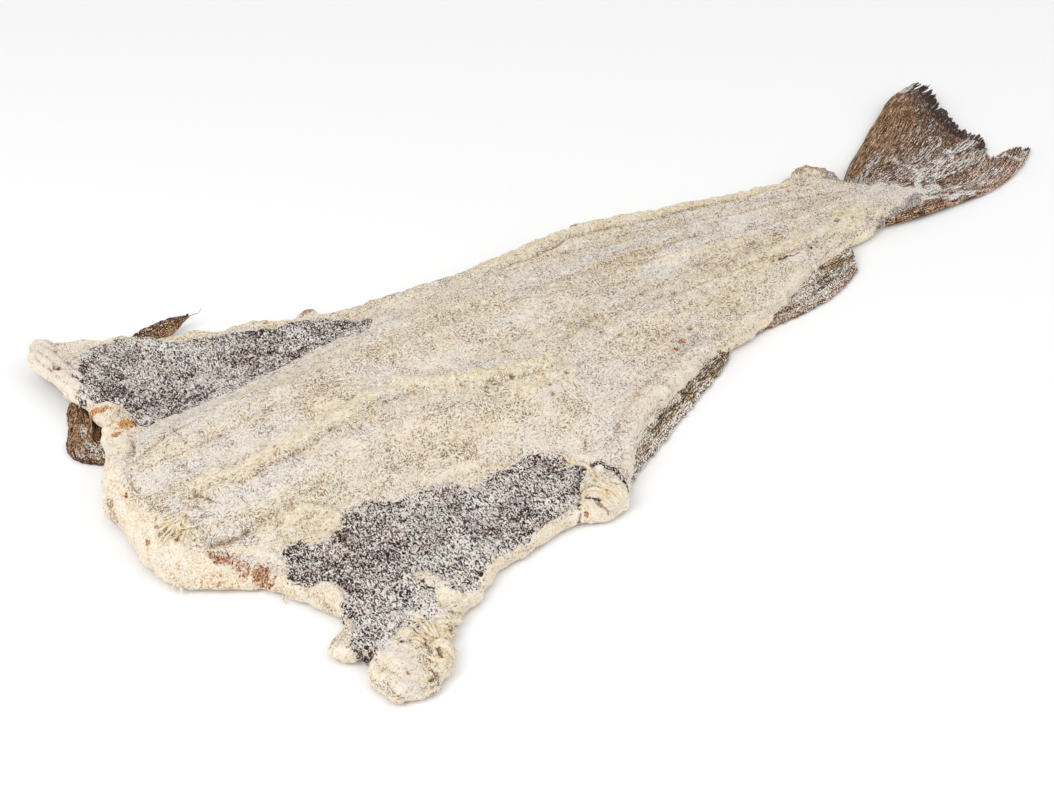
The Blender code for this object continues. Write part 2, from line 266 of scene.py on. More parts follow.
MID_STROKES = (
    (((134, 1), (143, -11), (156, -18), (168, -25), (183, -28), (192, -33), (204, -35), (212, -38)),
     8.0, 1.9, "cream", 0.85),
    (((213, -36), (215, -47), (200, -55), (180, -48)), 6.5, 1.0, "cream", 0.8),
    (((155, -21), (159, -26), (165, -28), (169, -30)), 1.2, -1.0, "brown", 0.5),
    (((172, -36), (188, -38), (205, -41), (217, -42), (228, -46)), 1.3, -1.0, "brown", 0.45),
    (((184, -57), (194, -58), (204, -58)), 4.5, 0.8, "pink", 0.8),
    (((150, -30), (162, -42), (170, -56)), 1.5, -0.8, "brown", 0.4),
    (((95, -20), (115, -14), (135, -14)), 2.0, -0.9, "brown", 0.4),
    (((100, -48), (130, -56), (165, -66), (190, -72)), 6, 0.7, "cream", 0.4),
    (((110, -70), (140, -74), (165, -80)), 4, 0.6, "pale", 0.5),
)
REAR_STROKES = (
    (((246, 77), (263, 79), (290, 80), (314, 80), (343, 75), (379, 67), (415, 58), (452, 49), (480, 41)),
     8.0, 0.8, "cream", 1.0),
    (((247, 70), (274, 69), (300, 70), (315, 74), (340, 69), (369, 61), (399, 57), (429, 50), (459, 43),
      (487, 34)), 2.2, -1.5, "brown", 0.62),
    (((262, 62), (300, 60), (340, 55), (385, 47), (430, 38), (480, 27)), 2.0, -1.1, "brown", 0.4),
    (((302, 62), (325, 52), (359, 43), (396, 36), (432, 27), (471, 20), (493, 14)), 2.2, -1.3, "brown", 0.5),
    # Painted shade: a broad darkening over the rear half.
    (((280, 20), (350, 10), (440, 4)), 60, 0.0, "painted_shade", 0.4),
    (((250, -52), (320, -40), (400, -30)), 13, 0.0, "cream", 0.24),
    (((270, 40), (340, 38), (420, 22)), 12, 0.0, "grey", 0.8),
    (((330, 6), (380, 14), (430, 10)), 16, 0.0, "grey", 0.8),
    (((328, 17), (373, 11), (422, 7), (454, 3)), 2.2, -1.2, "brown", 0.45),
    (((298, -17), (325, -23), (365, -24), (407, -27), (451, -29)), 2.0, -1.2, "brown", 0.5),
    (((240, 30), (290, 32), (345, 26), (400, 18)), 2.0, -1.1, "brown", 0.42),
    (((220, 6), (262, 10), (310, 8)), 2.0, -1.0, "brown", 0.36),
    (((232, -22), (270, -14), (310, -10), (350, -12)), 2.0, -1.0, "brown", 0.34),
    (((340, 46), (400, 33), (460, 18)), 4.0, 0.7, "cream", 0.55),
    (((338, 12), (360, 8), (380, 3), (400, 1)), 6.5, 0.9, "cream", 0.8),
    (((393, -6), (434, -8), (463, -9), (483, -11)), 2.2, -0.6, "dark", 0.25),
    (((365, -24), (395, -23), (424, -21), (442, -22), (460, -25), (478, -25)), 7.0, 0.8, "cream", 0.75),
    (((401, -30), (409, -31), (417, -32)), 1.0, -1.0, "dark", 1.0),
    (((515, 2), (530, -7), (543, -10)), 15, 0.0, "grey", 1.0),
    (((497, 49), (506, 50), (513, 42), (513, 32)), 4.5, 2.6, "brown", 0.8),
)
EDGE_STROKES = (
    (NEAR_RIDGE, 5.0, 1.5, "pale", 0.42),
    (((300, -64), (272, -72), (240, -82), (215, -95), (203, -104)), 2.2, -1.0, "brown", 0.4),
    (((330, -69), (350, -63), (380, -55), (410, -46)), 4.0, 1.0, "pale", 0.35),
    (((62, -157), (80, -150), (106, -144), (134, -142), (150, -143)), 8.0, 0.7, "pale", 1.0),
    (((58, -152), (56, -140), (53, -130), (48, -124)), 5.2, 0.9, "pale", 1.4),
)
VENT_STROKES = (
    (((152, -142), (160, -138), (170, -134), (176, -140)), 11.0, 1.6, "pale", 0.9),
    (((163, -90), (172, -100), (178, -107), (180, -114), (178, -120)), 2.6, 2.0, "pale", 1.0),
    (((153, -130), (160, -123), (168, -125), (172, -133), (174, -144)), 2.4, 1.2, "cream", 1.0),
    (((157, -126.6), (163, -126.4), (168.6, -129.6), (168.8, -136)), 1.1, -1.4, "brown", 0.9),
    (((158.4, -132.4), (160.6, -134.6), (162, -137.6)), 1.4, -1.9, "dark", 1.0),
    (((160, -138), (160, -142), (160.6, -147)), 1.3, -2.0, "brown", 1.1),
    (((172, -131.6), (175, -132.6), (176.4, -136)), 1.5, -1.8, "brown", 1.1),
    (((152.6, -133), (149.4, -135.6), (148, -139), (145, -141)), 1.1, -1.7, "brown", 0.9),
    (((170, -99), (172, -106), (167, -115), (158, -125), (152, -133)), 1.3, -1.4, "dark", 0.95),
    (((188, -95), (186, -98), (182, -102)), 1.0, -0.9, "brown", 0.9),
)
TIP_STROKES = (
    (((-10, -150), (-7, -158), (-4, -170), (-1, -188)), 6.0, 0.9, "pale", 1.0),
    (((32, -165), (29, -173), (28, -182), (21, -189)), 6.5, 1.0, "cream", 1.1),
    (((8, -158), (10, -170), (6, -182), (0, -188)), 9.0, 0.3, "pink", 0.62),
    (((27.4, -176), (26, -183)), 1.5, -2.2, "brown", 1.2),
    (((16, -185), (17, -189), (13, -191)), 1.5, -1.8, "brown", 1.1),
    (((4, -166), (8, -178), (4, -190)), 8.0, 0.8, "pale", 1.2),
    (((28, -168), (33, -172), (31, -180)), 2.4, 1.6, "cream", 1.2),
    (((29, -164), (25, -170), (24, -176)), 1.3, -1.8, "brown", 0.9),
    (((34, -163), (38, -168), (36, -174)), 1.6, 1.6, "cream", 1.2),
    (((44, -168), (48, -163), (58, -159)), 5.0, 1.2, "cream", 1.2),
    # Painted shadow: a dark cut under the cream knob at the flap's tip.
    (((16, -161), (19, -163), (24, -163)), 1.2, -1.6, "dark", 0.7),
    (((14, -165), (12, -175), (8, -184)), 6.0, 0.6, "pale", 1.1),
    (((1, -163), (-1, -170), (1, -177)), 2.4, -0.4, "dark", 0.42),
)
STROKES = (NAPE_STROKES + COLLAR_STROKES + MID_STROKES + REAR_STROKES + EDGE_STROKES + VENT_STROKES
           + TIP_STROKES)

# Round features: the centre, the two radii, the height, the look and its strength.
SPOTS = (
    ((30, -60), (10, 1.8), -0.5, "brown", 0.5),
    ((34, -64), (9, 4), -0.5, "brown", 0.28),
    ((-18, 46), (9, 10), 2.6, "pale", 0.9),
    ((-45, 10), (2.4, 4), 2.0, "cream", 1.0),
    ((-37, 7), (1.3, 1.3), -1.0, "blood", 1.2),
    ((-46, -31), (2.6, 3.2), 0.0, "orange", 0.6),
    ((-3, 66), (6, 4), 0.5, "orange", 0.9),
    ((-12, 61), (3.0, 2.2), 0.3, "orange", 0.8),
    ((-9, -77), (6.0, 6.0), -0.4, "blood", 0.85),
    ((-7, -80), (3.4, 4.0), -0.4, "dark", 0.42),
    ((-22, -60), (3.0, 1.8), -0.3, "blood", 0.9),
    ((-1, 87), (8, 7), 1.2, "cream", 1.0),
    ((-6, 141), (2.8, 4.2), -2.0, "dark", 0.75),
    ((-3, 126), (2.2, 4.6), -2.0, "dark", 0.8),
    ((145, 112), (8, 4), 1.5, "brown", 1.0),
    ((146, 114), (6, 3), 0.0, "orange", 0.5),
    ((263, -38), (4.0, 3.0), -0.5, "brown", 0.7),
    ((303, -54), (2.6, 1.8), -1.0, "brown", 1.0),
    ((292, -60), (2.4, 1.6), -1.0, "blood", 1.2),
    ((286, -58), (2.0, 1.4), -0.8, "blood", 0.9),
    ((296, -64), (16, 8), 0.0, "grey", 0.9),
    ((239, -49), (4.0, 3.0), -0.4, "brown", 0.6),
    ((284, -64), (3.0, 2.2), -0.6, "blood", 0.7),
    ((150.4, -141), (1.7, 1.7), -0.6, "blood", 0.8),
    ((171, -142), (5.0, 4.5), 1.5, "cream", 1.0),
    ((166, -121), (5.5, 5.0), 0.6, "grey", 1.3),
    ((172, -116), (3.0, 3.0), 0.4, "grey", 1.0),
    # Painted shade: broad darker patches, in this spot and the four after it.
    ((136, -52), (42, 16), 0.0, "painted_shade", 0.6),
    ((459, -1), (44, 18), 0.0, "painted_shade", 0.9),
    ((-23, 40), (10, 9), 0.0, "painted_shade", 1.0),
    ((290, -62), (36, 15), 0.0, "painted_shade", 1.0),
    ((340, -44), (30, 14), 0.0, "painted_shade", 0.6),
    ((22, -158), (4.6, 4.0), 2.6, "cream", 1.1),
    ((22, -188), (2.4, 2.2), -0.4, "grey", 1.0),
    ((0, -171), (3.2, 5), -0.6, "dark", 0.4),
    ((395, -30), (1.6, 1.6), -1.5, "dark", 1.0),
    ((428, -31), (1.6, 1.6), -1.5, "dark", 1.0),
    ((481, -14), (17, 9), 1.2, "cream", 1.15),
    ((492, 30), (10, 5), 0.5, "cream", 0.8),
    ((489, 31), (5, 2.4), -0.5, "brown", 0.6),
    ((-33, -39), (7, 8), 0.7, "cream", 0.8),
)

# Small pits whose brown floors are partly the flesh's own colour and partly painted shade, each a centre and
# a radius.
PITS = (
    (-40, -34, 1.1), (-38, -36, 1.2), (-34, -40, 1.3), (-35, -42, 1.0), (-38, -32, 1.0), (-36, -38, 1.1),
    (-37, -35, 0.9), (-39, -29, 1.0), (176, -24, 2.2), (172, -32, 1.8), (166, -36, 1.6), (163, -39, 1.3),
    (185, -35, 2.4), (199, -11, 1.2), (189, -14, 1.2), (195, -59, 1.4), (157, -26, 1.4), (211, -41, 2.7),
    (200, -46, 2.4), (213, -49, 2.0), (198, -53, 1.9), (206, -31, 1.5), (192, -28, 1.2), (487, -6, 1.5),
    (476, -12, 1.8), (471, -11, 1.2), (477, -20, 1.5), (488, -16, 1.6), (485, -22, 1.3), (494, -17, 1.4),
    (466, -17, 2.0), (25, -160, 1.0), (27, -162, 1.1), (30, -161, 1.0), (30, -165, 1.2), (33, -173, 1.7),
    (27, -179, 1.6), (24, -183, 1.2), (16, -191, 1.3), (12, -191, 1.2), (36, -179, 1.6), (41, -168, 1.8),
    (13, -174, 1.0), (6, -182, 1.1), (-4, -178, 1.0), (48, -159, 1.4),
)

# Flat lobes with a clear edge: the outline, the height, the look and its strength.
LOBES = (
    (((14, -60), (20, -54), (28, -52), (38, -54), (45, -60), (47, -67), (41, -73), (32, -74), (22, -72),
      (15, -67)), 1.2, "cream", 1.2),
    (((2, -104), (7, -101), (13, -103), (15, -112), (12, -121), (8, -125), (5, -119), (4, -111)),
     1.6, "pale", 1.3),
    (((47, -152), (50, -140), (49, -128), (52, -123), (57, -130), (60, -141), (62, -151), (56, -156)),
     0.9, "pale", 1.4),
    (((-20, 50), (-14, 52), (-12, 44), (-16, 36), (-25, 38), (-26, 46)), 1.3, "pale", 1.2),
)

# The fan of fibres on the nape's face: where it starts and where its fibres end.
COMB_START = (-22, -34)
COMB_ENDS = ((-38, -30), (-42, -32), (-41, -36), (-42, -39), (-37, -41.5), (-35.4, -45), (-30, -43))

# Fibres and lips that stand clear of the flesh: the path, the width and how far it stands up.
FOLDS = (
    (((156, -131), (160, -128.5), (165, -130), (167, -135), (166, -142), (164, -148)), 2.8, 0.7),
    (((154, -135), (156, -131.5), (160, -130.6), (163, -133), (163.4, -138), (162.6, -145)), 1.7, 0.5),
    (((170, -98), (172.4, -105), (173.6, -113), (172.6, -120), (171, -128), (168.4, -134)), 2.6, 0.6),
    (((168.6, -132), (170.5, -138), (170, -146)), 2.8, 0.7),
    (((154, -132), (152, -137), (151, -144)), 2.2, 0.6),
    (((174, -131), (173.4, -138), (172.6, -145)), 2.0, 0.5),
    (((27, -170), (27, -163), (25, -158)), 2.2, 1.2),
    (((29, -170), (30, -162), (31.4, -155)), 2.0, 1.3),
    (((30, -171), (32, -164), (34, -156.4)), 2.0, 1.3),
    (((31, -172), (33.4, -165), (36, -158)), 2.0, 1.2),
    (((25, -169), (23, -165), (20, -162)), 2.4, 1.0),
    (((33, -183), (30, -178), (28, -173)), 3.4, 0.5),
    (((36, -179), (34, -175), (32, -171)), 3.2, 0.5),
    (((25, -187), (22, -183), (20, -178)), 3.4, 0.4),
    (((38, -172), (36, -169), (33, -168)), 3.0, 0.5),
)

# The rope of dark skin beside the vent.
VENT_SKIN = ((176, -114), (181, -119), (183.4, -126), (182, -133), (180.4, -139), (178, -144))

# The parts of the tail end where the skin's grey shows instead of flesh.
BARE_SKIN = (
    ((505, 33), (510, 20), (522, 9), (536, 2), (546, -6), (556, -14), (562, 2), (552, 20), (530, 38),
     (512, 36)),
    ((484, -34), (500, -28), (513, -25), (529, -22), (538, -18), (546, -24), (540, -32), (530, -38),
     (500, -40)),
)

# The tail fin's edges, from its root to the tips of its lobes, its root and its rear edge.
TAIL_LOWER_EDGE = (
    (500, -30), (522, -35), (547, -38), (577, -40), (592, -40), (608, -38), (625, -34), (641, -28),
    (658, -19),
)
TAIL_UPPER_EDGE = (
    (513, 23), (530, 35), (541, 42), (558, 51), (575, 60), (594, 70), (613, 79), (626, 86),
    (644, 91), (668, 95),
)
TAIL_ROOT = (TAIL_LOWER_EDGE[0], (514, -4), TAIL_UPPER_EDGE[0])
TAIL_REAR_EDGE = (
    (658, -19), (653, -15), (648, -11), (636, -11), (628, -10), (629, -3), (635, 3), (642, 11),
    (640, 20), (638, 27), (642, 38), (647, 50), (650, 60), (657, 69), (664, 81), (668, 95),
)

# The tatters of the tail's rear edge, as how many columns of its mesh one takes up and how far it
# stands out, and its slits: how many are fine, and the place and depth of each deep one.
TATTERS = ((3, 0.9), (8, 1.0), (21, 0.9))
FINE_SLITS = 60
DEEP_SLITS = ((0.955, 0.17), (0.9, 0.1), (0.975, 0.09), (0.2, 0.05), (0.72, 0.07))

# Where the tail has a look: the path, half its width, the look and its strength.
TAIL_STROKES = (
    (((662, 88), (654, 72), (646, 58), (640, 44), (635, 32), (634, 20)), 10, "dark", 1.25),
    (((655, 84), (640, 64), (628, 46), (622, 30)), 16, "dark", 0.75),
    (((640, 14), (632, 6), (628, -2)), 8, "dark", 1.1),
    (((622, 12), (628, 8), (632, 2)), 5, "dark", 1.1),
    (((658, -18), (646, -12)), 4, "dark", 0.7),
    (((646, 89), (653, 91), (660, 92)), 3.5, "frost", 1.1),
    (((519, 22), (532, 21), (545, 27), (559, 33), (565, 38)), 5.0, "frost", 0.85),
    (((568, 29), (566, 20), (569, 12), (577, 8)), 6, "frost", 0.85),
    (((570, 8), (565, 0), (557, -6), (549, -12)), 3.4, "frost", 1.25),
    (((574, 14), (592, 20), (612, 28)), 12, "frost", 0.78),
    (((570, 4), (592, 6), (616, 10), (630, 12)), 10, "frost", 0.92),
    (((566, -6), (588, -6), (610, -6), (628, -2)), 11, "frost", 0.86),
    (((524, 22), (542, 15), (560, 14)), 9, "frost", 0.74),
    (((572, 10), (600, 12), (632, 16)), 22, "dark", 0.66),
    (((566, 6), (600, 8), (632, 4)), 20, "rosy", 0.7),
    (((585, 30), (608, 40), (628, 46)), 12, "frost", 0.54),
    (((598, -2), (618, -4), (632, -12)), 8, "rosy", 0.7),
    (((540, 28), (575, 40), (612, 54), (640, 66)), 15, "frost", 0.42),
    (((560, 44), (590, 58), (625, 72)), 13, "frost", 0.34),
    (((529, -27), (543, -25), (553, -27), (562, -32), (576, -35)), 6, "frost", 1.05),
    (((630, -12), (637, -15), (640, -24)), 8, "frost", 0.95),
    (((560, -22), (590, -26), (620, -24)), 9, "frost", 0.85),
    (((515, 15), (540, 10), (560, 2)), 16, "frost", 0.7),
    (((520, -15), (540, -20), (560, -18)), 12, "frost", 1.1),
    (((583, -38), (604, -34), (621, -32), (636, -28), (650, -21)), 9, "rosy", 1.0),
    (((560, -32), (590, -26), (620, -20)), 13, "rosy", 0.85),
    (((595, -39), (612, -36), (628, -31)), 3.0, "rust", 0.35),
    (((499, -33), (515, -36), (534, -38), (556, -40)), 3.0, "rust", 0.45),
    (((530, 34), (560, 48), (590, 62), (625, 78)), 14, "umber", 0.9),
    (((560, 34), (595, 50), (630, 64)), 12, "umber", 0.6),
    (((575, 20), (600, 24), (630, 26)), 9, "olive", 0.4),
)

# The anal fins: the outer edge on the floor, the inner edge in the flesh, and their looks.
FIRST_ANAL_OUTER = (
    (184, -135), (192, -130), (205, -124), (222, -117), (237, -111), (252, -104), (264, -99),
    (277, -93), (290, -88), (304, -82), (320, -74),
)
FIRST_ANAL_INNER = (
    (184, -128), (192, -123), (203, -117), (216, -109), (233, -100), (247, -93), (260, -87),
    (273, -83), (285, -79), (298, -76), (318, -70),
)
FIRST_ANAL_STROKES = (
    (((184, -131), (240, -104), (318, -72)), 18, "crust", 1.5),
    (((184, -131), (240, -104), (318, -72)), 18, "frost", 0.5),
    (((264, -91), (280, -86), (296, -82), (305, -79), (316, -73)), 4.2, "olive", 1.0),
    (((228, -107), (239, -102), (250, -98), (260, -95), (271, -92), (281, -89)), 3.2, "olive", 0.9),
    # Dark along the inner edge: partly the fin's own colour, partly painted shadow under the flesh.
    (((268, -88), (280, -84), (287, -83), (296, -81), (305, -78), (315, -73)), 2.0, "dark", 0.62),
    (((232, -104), (239, -101), (250, -97), (260, -94), (271, -91), (281, -89)), 1.6, "dark", 0.6),
    (((191, -130), (207, -122), (216, -119), (225, -114), (237, -109)), 1.2, "dark", 0.7),
    (((190, -127), (205, -120), (220, -113)), 3.0, "rosy", 0.7),
)
SECOND_ANAL_OUTER = (
    (336, -69), (346, -68), (359, -68), (375, -69), (389, -69), (404, -68), (416, -66), (430, -62),
    (438, -59), (447, -55),
)
SECOND_ANAL_INNER = (
    (336, -66), (346, -63), (360, -60), (378, -55), (398, -49), (416, -45), (434, -40), (450, -36),
    (463, -33),
)
SECOND_ANAL_STROKES = (
    (((336, -67), (380, -62), (415, -55), (460, -42)), 20, "crust", 1.5),
    (((356, -68), (370, -69), (384, -69), (393, -69)), 1.2, "rust", 0.5),
    (((345, -67), (375, -68), (404, -67), (430, -61), (446, -55)), 2.6, "rosy", 1.0),
    (((402, -59), (414, -57), (422, -56), (432, -55), (444, -53)), 2.4, "dark", 0.78),
    (((406, -55), (422, -52), (432, -51), (446, -48)), 1.2, "dark", 0.75),
    (((350, -64), (372, -63), (395, -62)), 3.0, "rosy", 0.9),
    (((425, -45), (440, -45), (450, -44), (458, -42)), 3.6, "olive", 1.0),
    (((430, -50), (444, -47), (456, -43)), 3.0, "dark", 0.6),
    (((365, -63), (385, -63), (400, -61)), 1.2, "dark", 0.6),
)

# Each anal fin's name, its two edges, its height in the flesh, its looks and its seed.
ANAL_FINS = (
    ("anal_fin_first", FIRST_ANAL_OUTER, FIRST_ANAL_INNER, 8.6, FIRST_ANAL_STROKES, 35),
    ("anal_fin_second", SECOND_ANAL_OUTER, SECOND_ANAL_INNER, 6.6, SECOND_ANAL_STROKES, 36),
)

# The folded pectoral fin: the edge that shows, and its inner side under the collar.
PECTORAL_OUTER = (
    (-9, 125), (-14, 119), (-17, 112), (-23, 100), (-30, 89), (-32, 80), (-31, 74), (-27, 68),
    (-20, 60),
)
PECTORAL_INNER = ((-10, 56), (4, 60), (8, 76), (8, 96), (4, 116), (-2, 124))

# The profile across the folded pectoral: distances in from its edge, with their heights.
PECTORAL_PROFILE = (
    (0.0, 1.4), (1.0, 2.6), (4.0, 3.6), (7.0, 5.2), (8.0, 6.4), (9.4, 4.6), (11.0, 6.6), (12.4, 4.8),
    (13.6, 6.4), (15.0, 2.6), (18.0, 1.8),
)

# The pectoral fin's tip: the lower and upper edges of the leaf, with heights, and its thread.
LEAF_LOWER = ((46, 148, 1), (60, 150, 2), (67, 147, 2.5), (75, 149, 5), (86, 152.5, 8.5))
LEAF_UPPER = ((40, 156, 4), (54, 158, 6.5), (63, 158, 8), (73, 157, 9), (86.5, 153, 9))
LEAF_THREAD = ((84, 152, 8.5), (88, 150, 10), (91, 148.5, 11), (93.5, 149.5, 12.5), (94, 151, 13.5))

# Loose shreds: a line from one plan point to another, the heading in degrees and how far it
# fans, how many there are, their length and width, and how far they rise.
SHREDS = (
    ((-26, -30), (-24, -38), 200, 22, 11, 13.0, 1.5, 0.3),
    ((-5, -90), (-2, -96), -129, 22, 5, 6.0, 1.1, 0.2),
    ((2, -104), (8, -118), -140, 18, 8, 4.0, 1.4, 0.2),
    ((26, -176), (42, -162), -39, 30, 12, 4.5, 2.0, 0.4),
    ((10, -188), (28, -182), -90, 40, 9, 3.5, 1.8, 0.3),
    ((30, -158), (44, -148), 118, 22, 9, 8.5, 2.1, 1.2),
    ((46, -162), (34, -160), 160, 50, 7, 6.5, 1.9, 1.0),
    ((155, -19), (214, -35), -10, 60, 30, 4.6, 2.8, 0.3),
    ((196, -50), (212, -40), 60, 90, 14, 4.5, 2.6, 0.3),
    ((72, -144), (140, -136), 8, 14, 9, 4.5, 1.5, 0.2),
    ((18, -19), (112, -5), 5, 24, 26, 6.0, 2.0, 0.1),
    ((26, 161), (60, 146), -30, 30, 8, 5.0, 1.8, 0.2),
    ((-48, -44), (-42, -56), -140, 30, 4, 3.0, 1.8, 0.1),
    ((70, 136), (125, 112), -25, 20, 10, 5.0, 1.3, 0.3),
    ((470, -18), (490, -14), 10, 120, 9, 4.0, 1.5, 0.6),
)

# How a shred tapers: shares of the way along it, with shares of its width.
TAPER = ((0.0, 0.7), (0.15, 1.0), (0.6, 0.8), (1.0, 0.15))

# The camera looks along the fish from the nape's near side, in the fish's own plan.
CAMERA_TARGET = (200.8, -28.9, 0.0)
CAMERA_AZIMUTH = -38.83
CAMERA_ELEVATION = 35.0
CAMERA_DISTANCE = 1127.75
CAMERA_HALF_ANGLE = 15.0

# The floor, a little below the fish, and the lights: a place, a size in metres and the watts.
FLOOR_REACH = 3.0
FLOOR_DROP = 0.0003
FLOOR_WHITE = (0.97, 0.97, 0.97, 1.0)
SKY_STRENGTH = 0.75
LAMPS = (
    ("key", (-1.25, -0.1, 0.95), 1.0, 8.5),
    ("fill", (0.6, -1.2, 1.2), 1.2, 6.0),
)


# ------------------------------------------------------------------ numbers

def smooth_step(value):
    """0 below 0, 1 above 1, and an even S-curve between."""
    t = np.clip(value, 0.0, 1.0)
    return t * t * (3.0 - 2.0 * t)


def place(points):
    """Points of the fish's plan, in millimetres, moved to the model's frame, in metres."""
    return (np.asarray(points, dtype=float) + SHIFT) * MM


def on_floor(plan):
    """Plan points as points in space, at height 0."""
    return np.column_stack((plan, np.zeros(len(plan))))


def ripple(values, period):
    """A wave from -1 to 1 that repeats at each period."""
    return np.cos(math.tau * values / period)


def band(values, start, rise, end, fall):
    """1 between start and end and 0 outside them, with a slope just inside each."""
    return smooth_step((values - start) / rise) * smooth_step((end - values) / fall)


def profile(values, stations):
    """Heights or widths read off at the values, on straight lines between the stations."""
    places, sizes = np.array(stations, dtype=float).T
    return np.interp(values, places, sizes)


def unit(vectors):
    """The vectors drawn out or in to a length of 1."""
    return vectors / np.maximum(np.linalg.norm(vectors, axis=-1, keepdims=True), 1e-9)


def averaged(values):
    """A row of values, with all but the first and the last averaged with their neighbours."""
    result = values.copy()
    result[1:-1] = (values[:-2] + values[1:-1] + values[2:]) / 3.0
    return result


def grid_shares(rows, columns):
    """How far each point of a grid is along it and across it, 0 to 1."""
    u = np.linspace(0.0, 1.0, rows)[:, None] * np.ones((1, columns))
    v = np.linspace(0.0, 1.0, columns)[None, :] * np.ones((rows, 1))
    return u, v


def smooth_curve(landmarks, step, closed=True):
    """A Catmull-Rom curve through the landmarks, with points about one step apart."""
    points = np.array(landmarks, dtype=float)
    count = len(points)
    curve = []
    for i in range(count if closed else count - 1):
        if closed:
            before, start, end, after = (points[(i + k) % count] for k in (-1, 0, 1, 2))
        else:
            before, start = points[max(i - 1, 0)], points[i]
            end, after = points[i + 1], points[min(i + 2, count - 1)]
        parts = max(1, round(np.linalg.norm(end - start) / step))
        for j in range(parts):
            t = j / parts
            curve.append(
                0.5 * (2 * start + (end - before) * t
                       + (2 * before - 5 * start + 4 * end - after) * t**2
                       + (3 * start - before - 3 * end + after) * t**3)
            )
    if not closed:
        curve.append(points[-1])
    return np.array(curve)


def path_coordinates(points, path, closed=False):
    """Each plan point's distance from a path, and how far along the path it lies."""
    starts = path if closed else path[:-1]
    ends = np.roll(path, -1, axis=0) if closed else path[1:]
    best = np.full(len(points), np.inf)
    along = np.zeros(len(points))
    travelled = 0.0
    for start, end in zip(starts, ends):
        side = end - start
        length = max(math.hypot(*side), 1e-6)
        offset = points - start
        t = np.clip((offset @ side) / length**2, 0.0, 1.0)
        gap = offset - t[:, None] * side
        squared = gap[:, 0]**2 + gap[:, 1]**2
        nearer = squared < best
        best[nearer] = squared[nearer]
        along[nearer] = travelled + t[nearer] * length
        travelled += length
    return np.sqrt(best), along


def distance_to_path(points, path, closed=False):
    """The distance from each plan point to the nearest side of a path."""
    return path_coordinates(points, path, closed)[0]


def evenly(path, count):
    """Points evenly spaced along an open path, of two or three dimensions."""
    path = np.asarray(path, dtype=float)
    steps = np.linalg.norm(np.diff(path, axis=0), axis=1)
    travelled = np.concatenate(([0.0], np.cumsum(steps)))
    stations = np.linspace(0.0, travelled[-1], count)
    return np.column_stack([np.interp(stations, travelled, path[:, k]) for k in range(path.shape[1])])


def grid_between(lower, upper, start, end, rows, columns):
    """A grid of points filled in between four edges: two run along it and two across."""
    low, high = (evenly(smooth_curve(side, 2.0, False), rows)[:, None, :] for side in (lower, upper))
    first, last = (evenly(side, columns)[None, :, :] for side in (start, end))
    u = np.linspace(0.0, 1.0, rows)[:, None, None]
    v = np.linspace(0.0, 1.0, columns)[None, :, None]
    corners = ((1 - u) * (1 - v) * low[:1] + u * (1 - v) * low[-1:]
               + (1 - u) * v * high[:1] + u * v * high[-1:])
    return (1 - v) * low + v * high + (1 - u) * first + u * last - corners


def inside_path(points, path):
    """Whether each plan point is inside a closed path, by the crossing rule."""
    inside = np.zeros(len(points), dtype=bool)
    x, y = points[:, 0], points[:, 1]
    for (x0, y0), (x1, y1) in zip(path, np.roll(path, -1, axis=0)):
        if y0 != y1:
            crossed = ((y0 > y) != (y1 > y)) & (x < x0 + (y - y0) * (x1 - x0) / (y1 - y0))
            inside ^= crossed
    return inside


def signed_distance(points, path, reach):
    """The distance into a closed path, negative outside, no further than reach either way."""
    low, high = path.min(axis=0) - reach, path.max(axis=0) + reach
    near = np.all((points > low) & (points < high), axis=1)
    result = np.full(len(points), -float(reach))
    close = points[near]
    distance = distance_to_path(close, path, closed=True)
    result[near] = np.where(inside_path(close, path), distance, -distance)
    return np.clip(result, -reach, reach)


def inward(outline):
    """For each point of a counter-clockwise outline, the direction into it."""
    tangents = unit(np.roll(outline, -1, axis=0) - np.roll(outline, 1, axis=0))
    return np.column_stack((-tangents[:, 1], tangents[:, 0]))


def inset(outline, distance, clear=0.9):
    """An outline drawn in by a distance, without the points that would cross over."""
    ring = outline + inward(outline) * distance
    ring = ring[inside_path(ring, outline)]
    return ring[distance_to_path(ring, outline, closed=True) > clear * distance]


def roughened(outline, seed, sizes):
    """An outline pushed in and out by seeded noise; sizes pairs a push with a feature size."""
    noise = Noise(seed)
    flat = on_floor(outline)
    push = sum(amount * noise(flat + 91.0 * number, size) for number, (amount, size) in enumerate(sizes))
    return outline - inward(outline) * push[:, None]


class Noise:
    """Smooth seeded noise in three dimensions, from about -1 to 1."""

    def __init__(self, seed):
        random = np.random.default_rng(seed)
        self.table = random.permutation(NOISE_CELLS)
        self.values = random.uniform(-1.0, 1.0, NOISE_CELLS)

    def __call__(self, points, size):
        """One octave at each point; size is the feature size, a number or one for each axis."""
        p = points / np.asarray(size, dtype=float)
        cell = np.floor(p).astype(np.int64)
        t = p - cell
        t = t * t * (3.0 - 2.0 * t)
        total = np.zeros(len(points))
        for corner in range(8):
            bits = np.array([corner & 1, corner >> 1 & 1, corner >> 2 & 1])
            weight = np.prod(np.where(bits, t, 1.0 - t), axis=1)
            key = cell + bits
            index = self.table[key[:, 0] % NOISE_CELLS]
            index = self.table[(index + key[:, 1]) % NOISE_CELLS]
            index = self.table[(index + key[:, 2]) % NOISE_CELLS]
            total += weight * self.values[index]
        return total

    def layers(self, points, size, count=3):
        """Several octaves, each half the size and half the height of the one before."""
        size = np.asarray(size, dtype=float)
        return sum(self(points + 37.7 * k, size / 2**k) / 2**k for k in range(count))

    def billow(self, points, size, count=2):
        """Round lumps with sharp creases between them, from about -0.6 to 1.4."""
        size = np.asarray(size, dtype=float)
        layers = [np.abs(self(points + 53.3 * k, size / 2**k)) * 2.0 - 0.6 for k in range(count)]
        return sum(layer / 2**k for k, layer in enumerate(layers))


# ------------------------------------------------------------------ meshes

def linked(name, data):
    """An object made from its data, in the scene."""
    made = bpy.data.objects.new(name, data)
    bpy.context.scene.collection.objects.link(made)
    return made


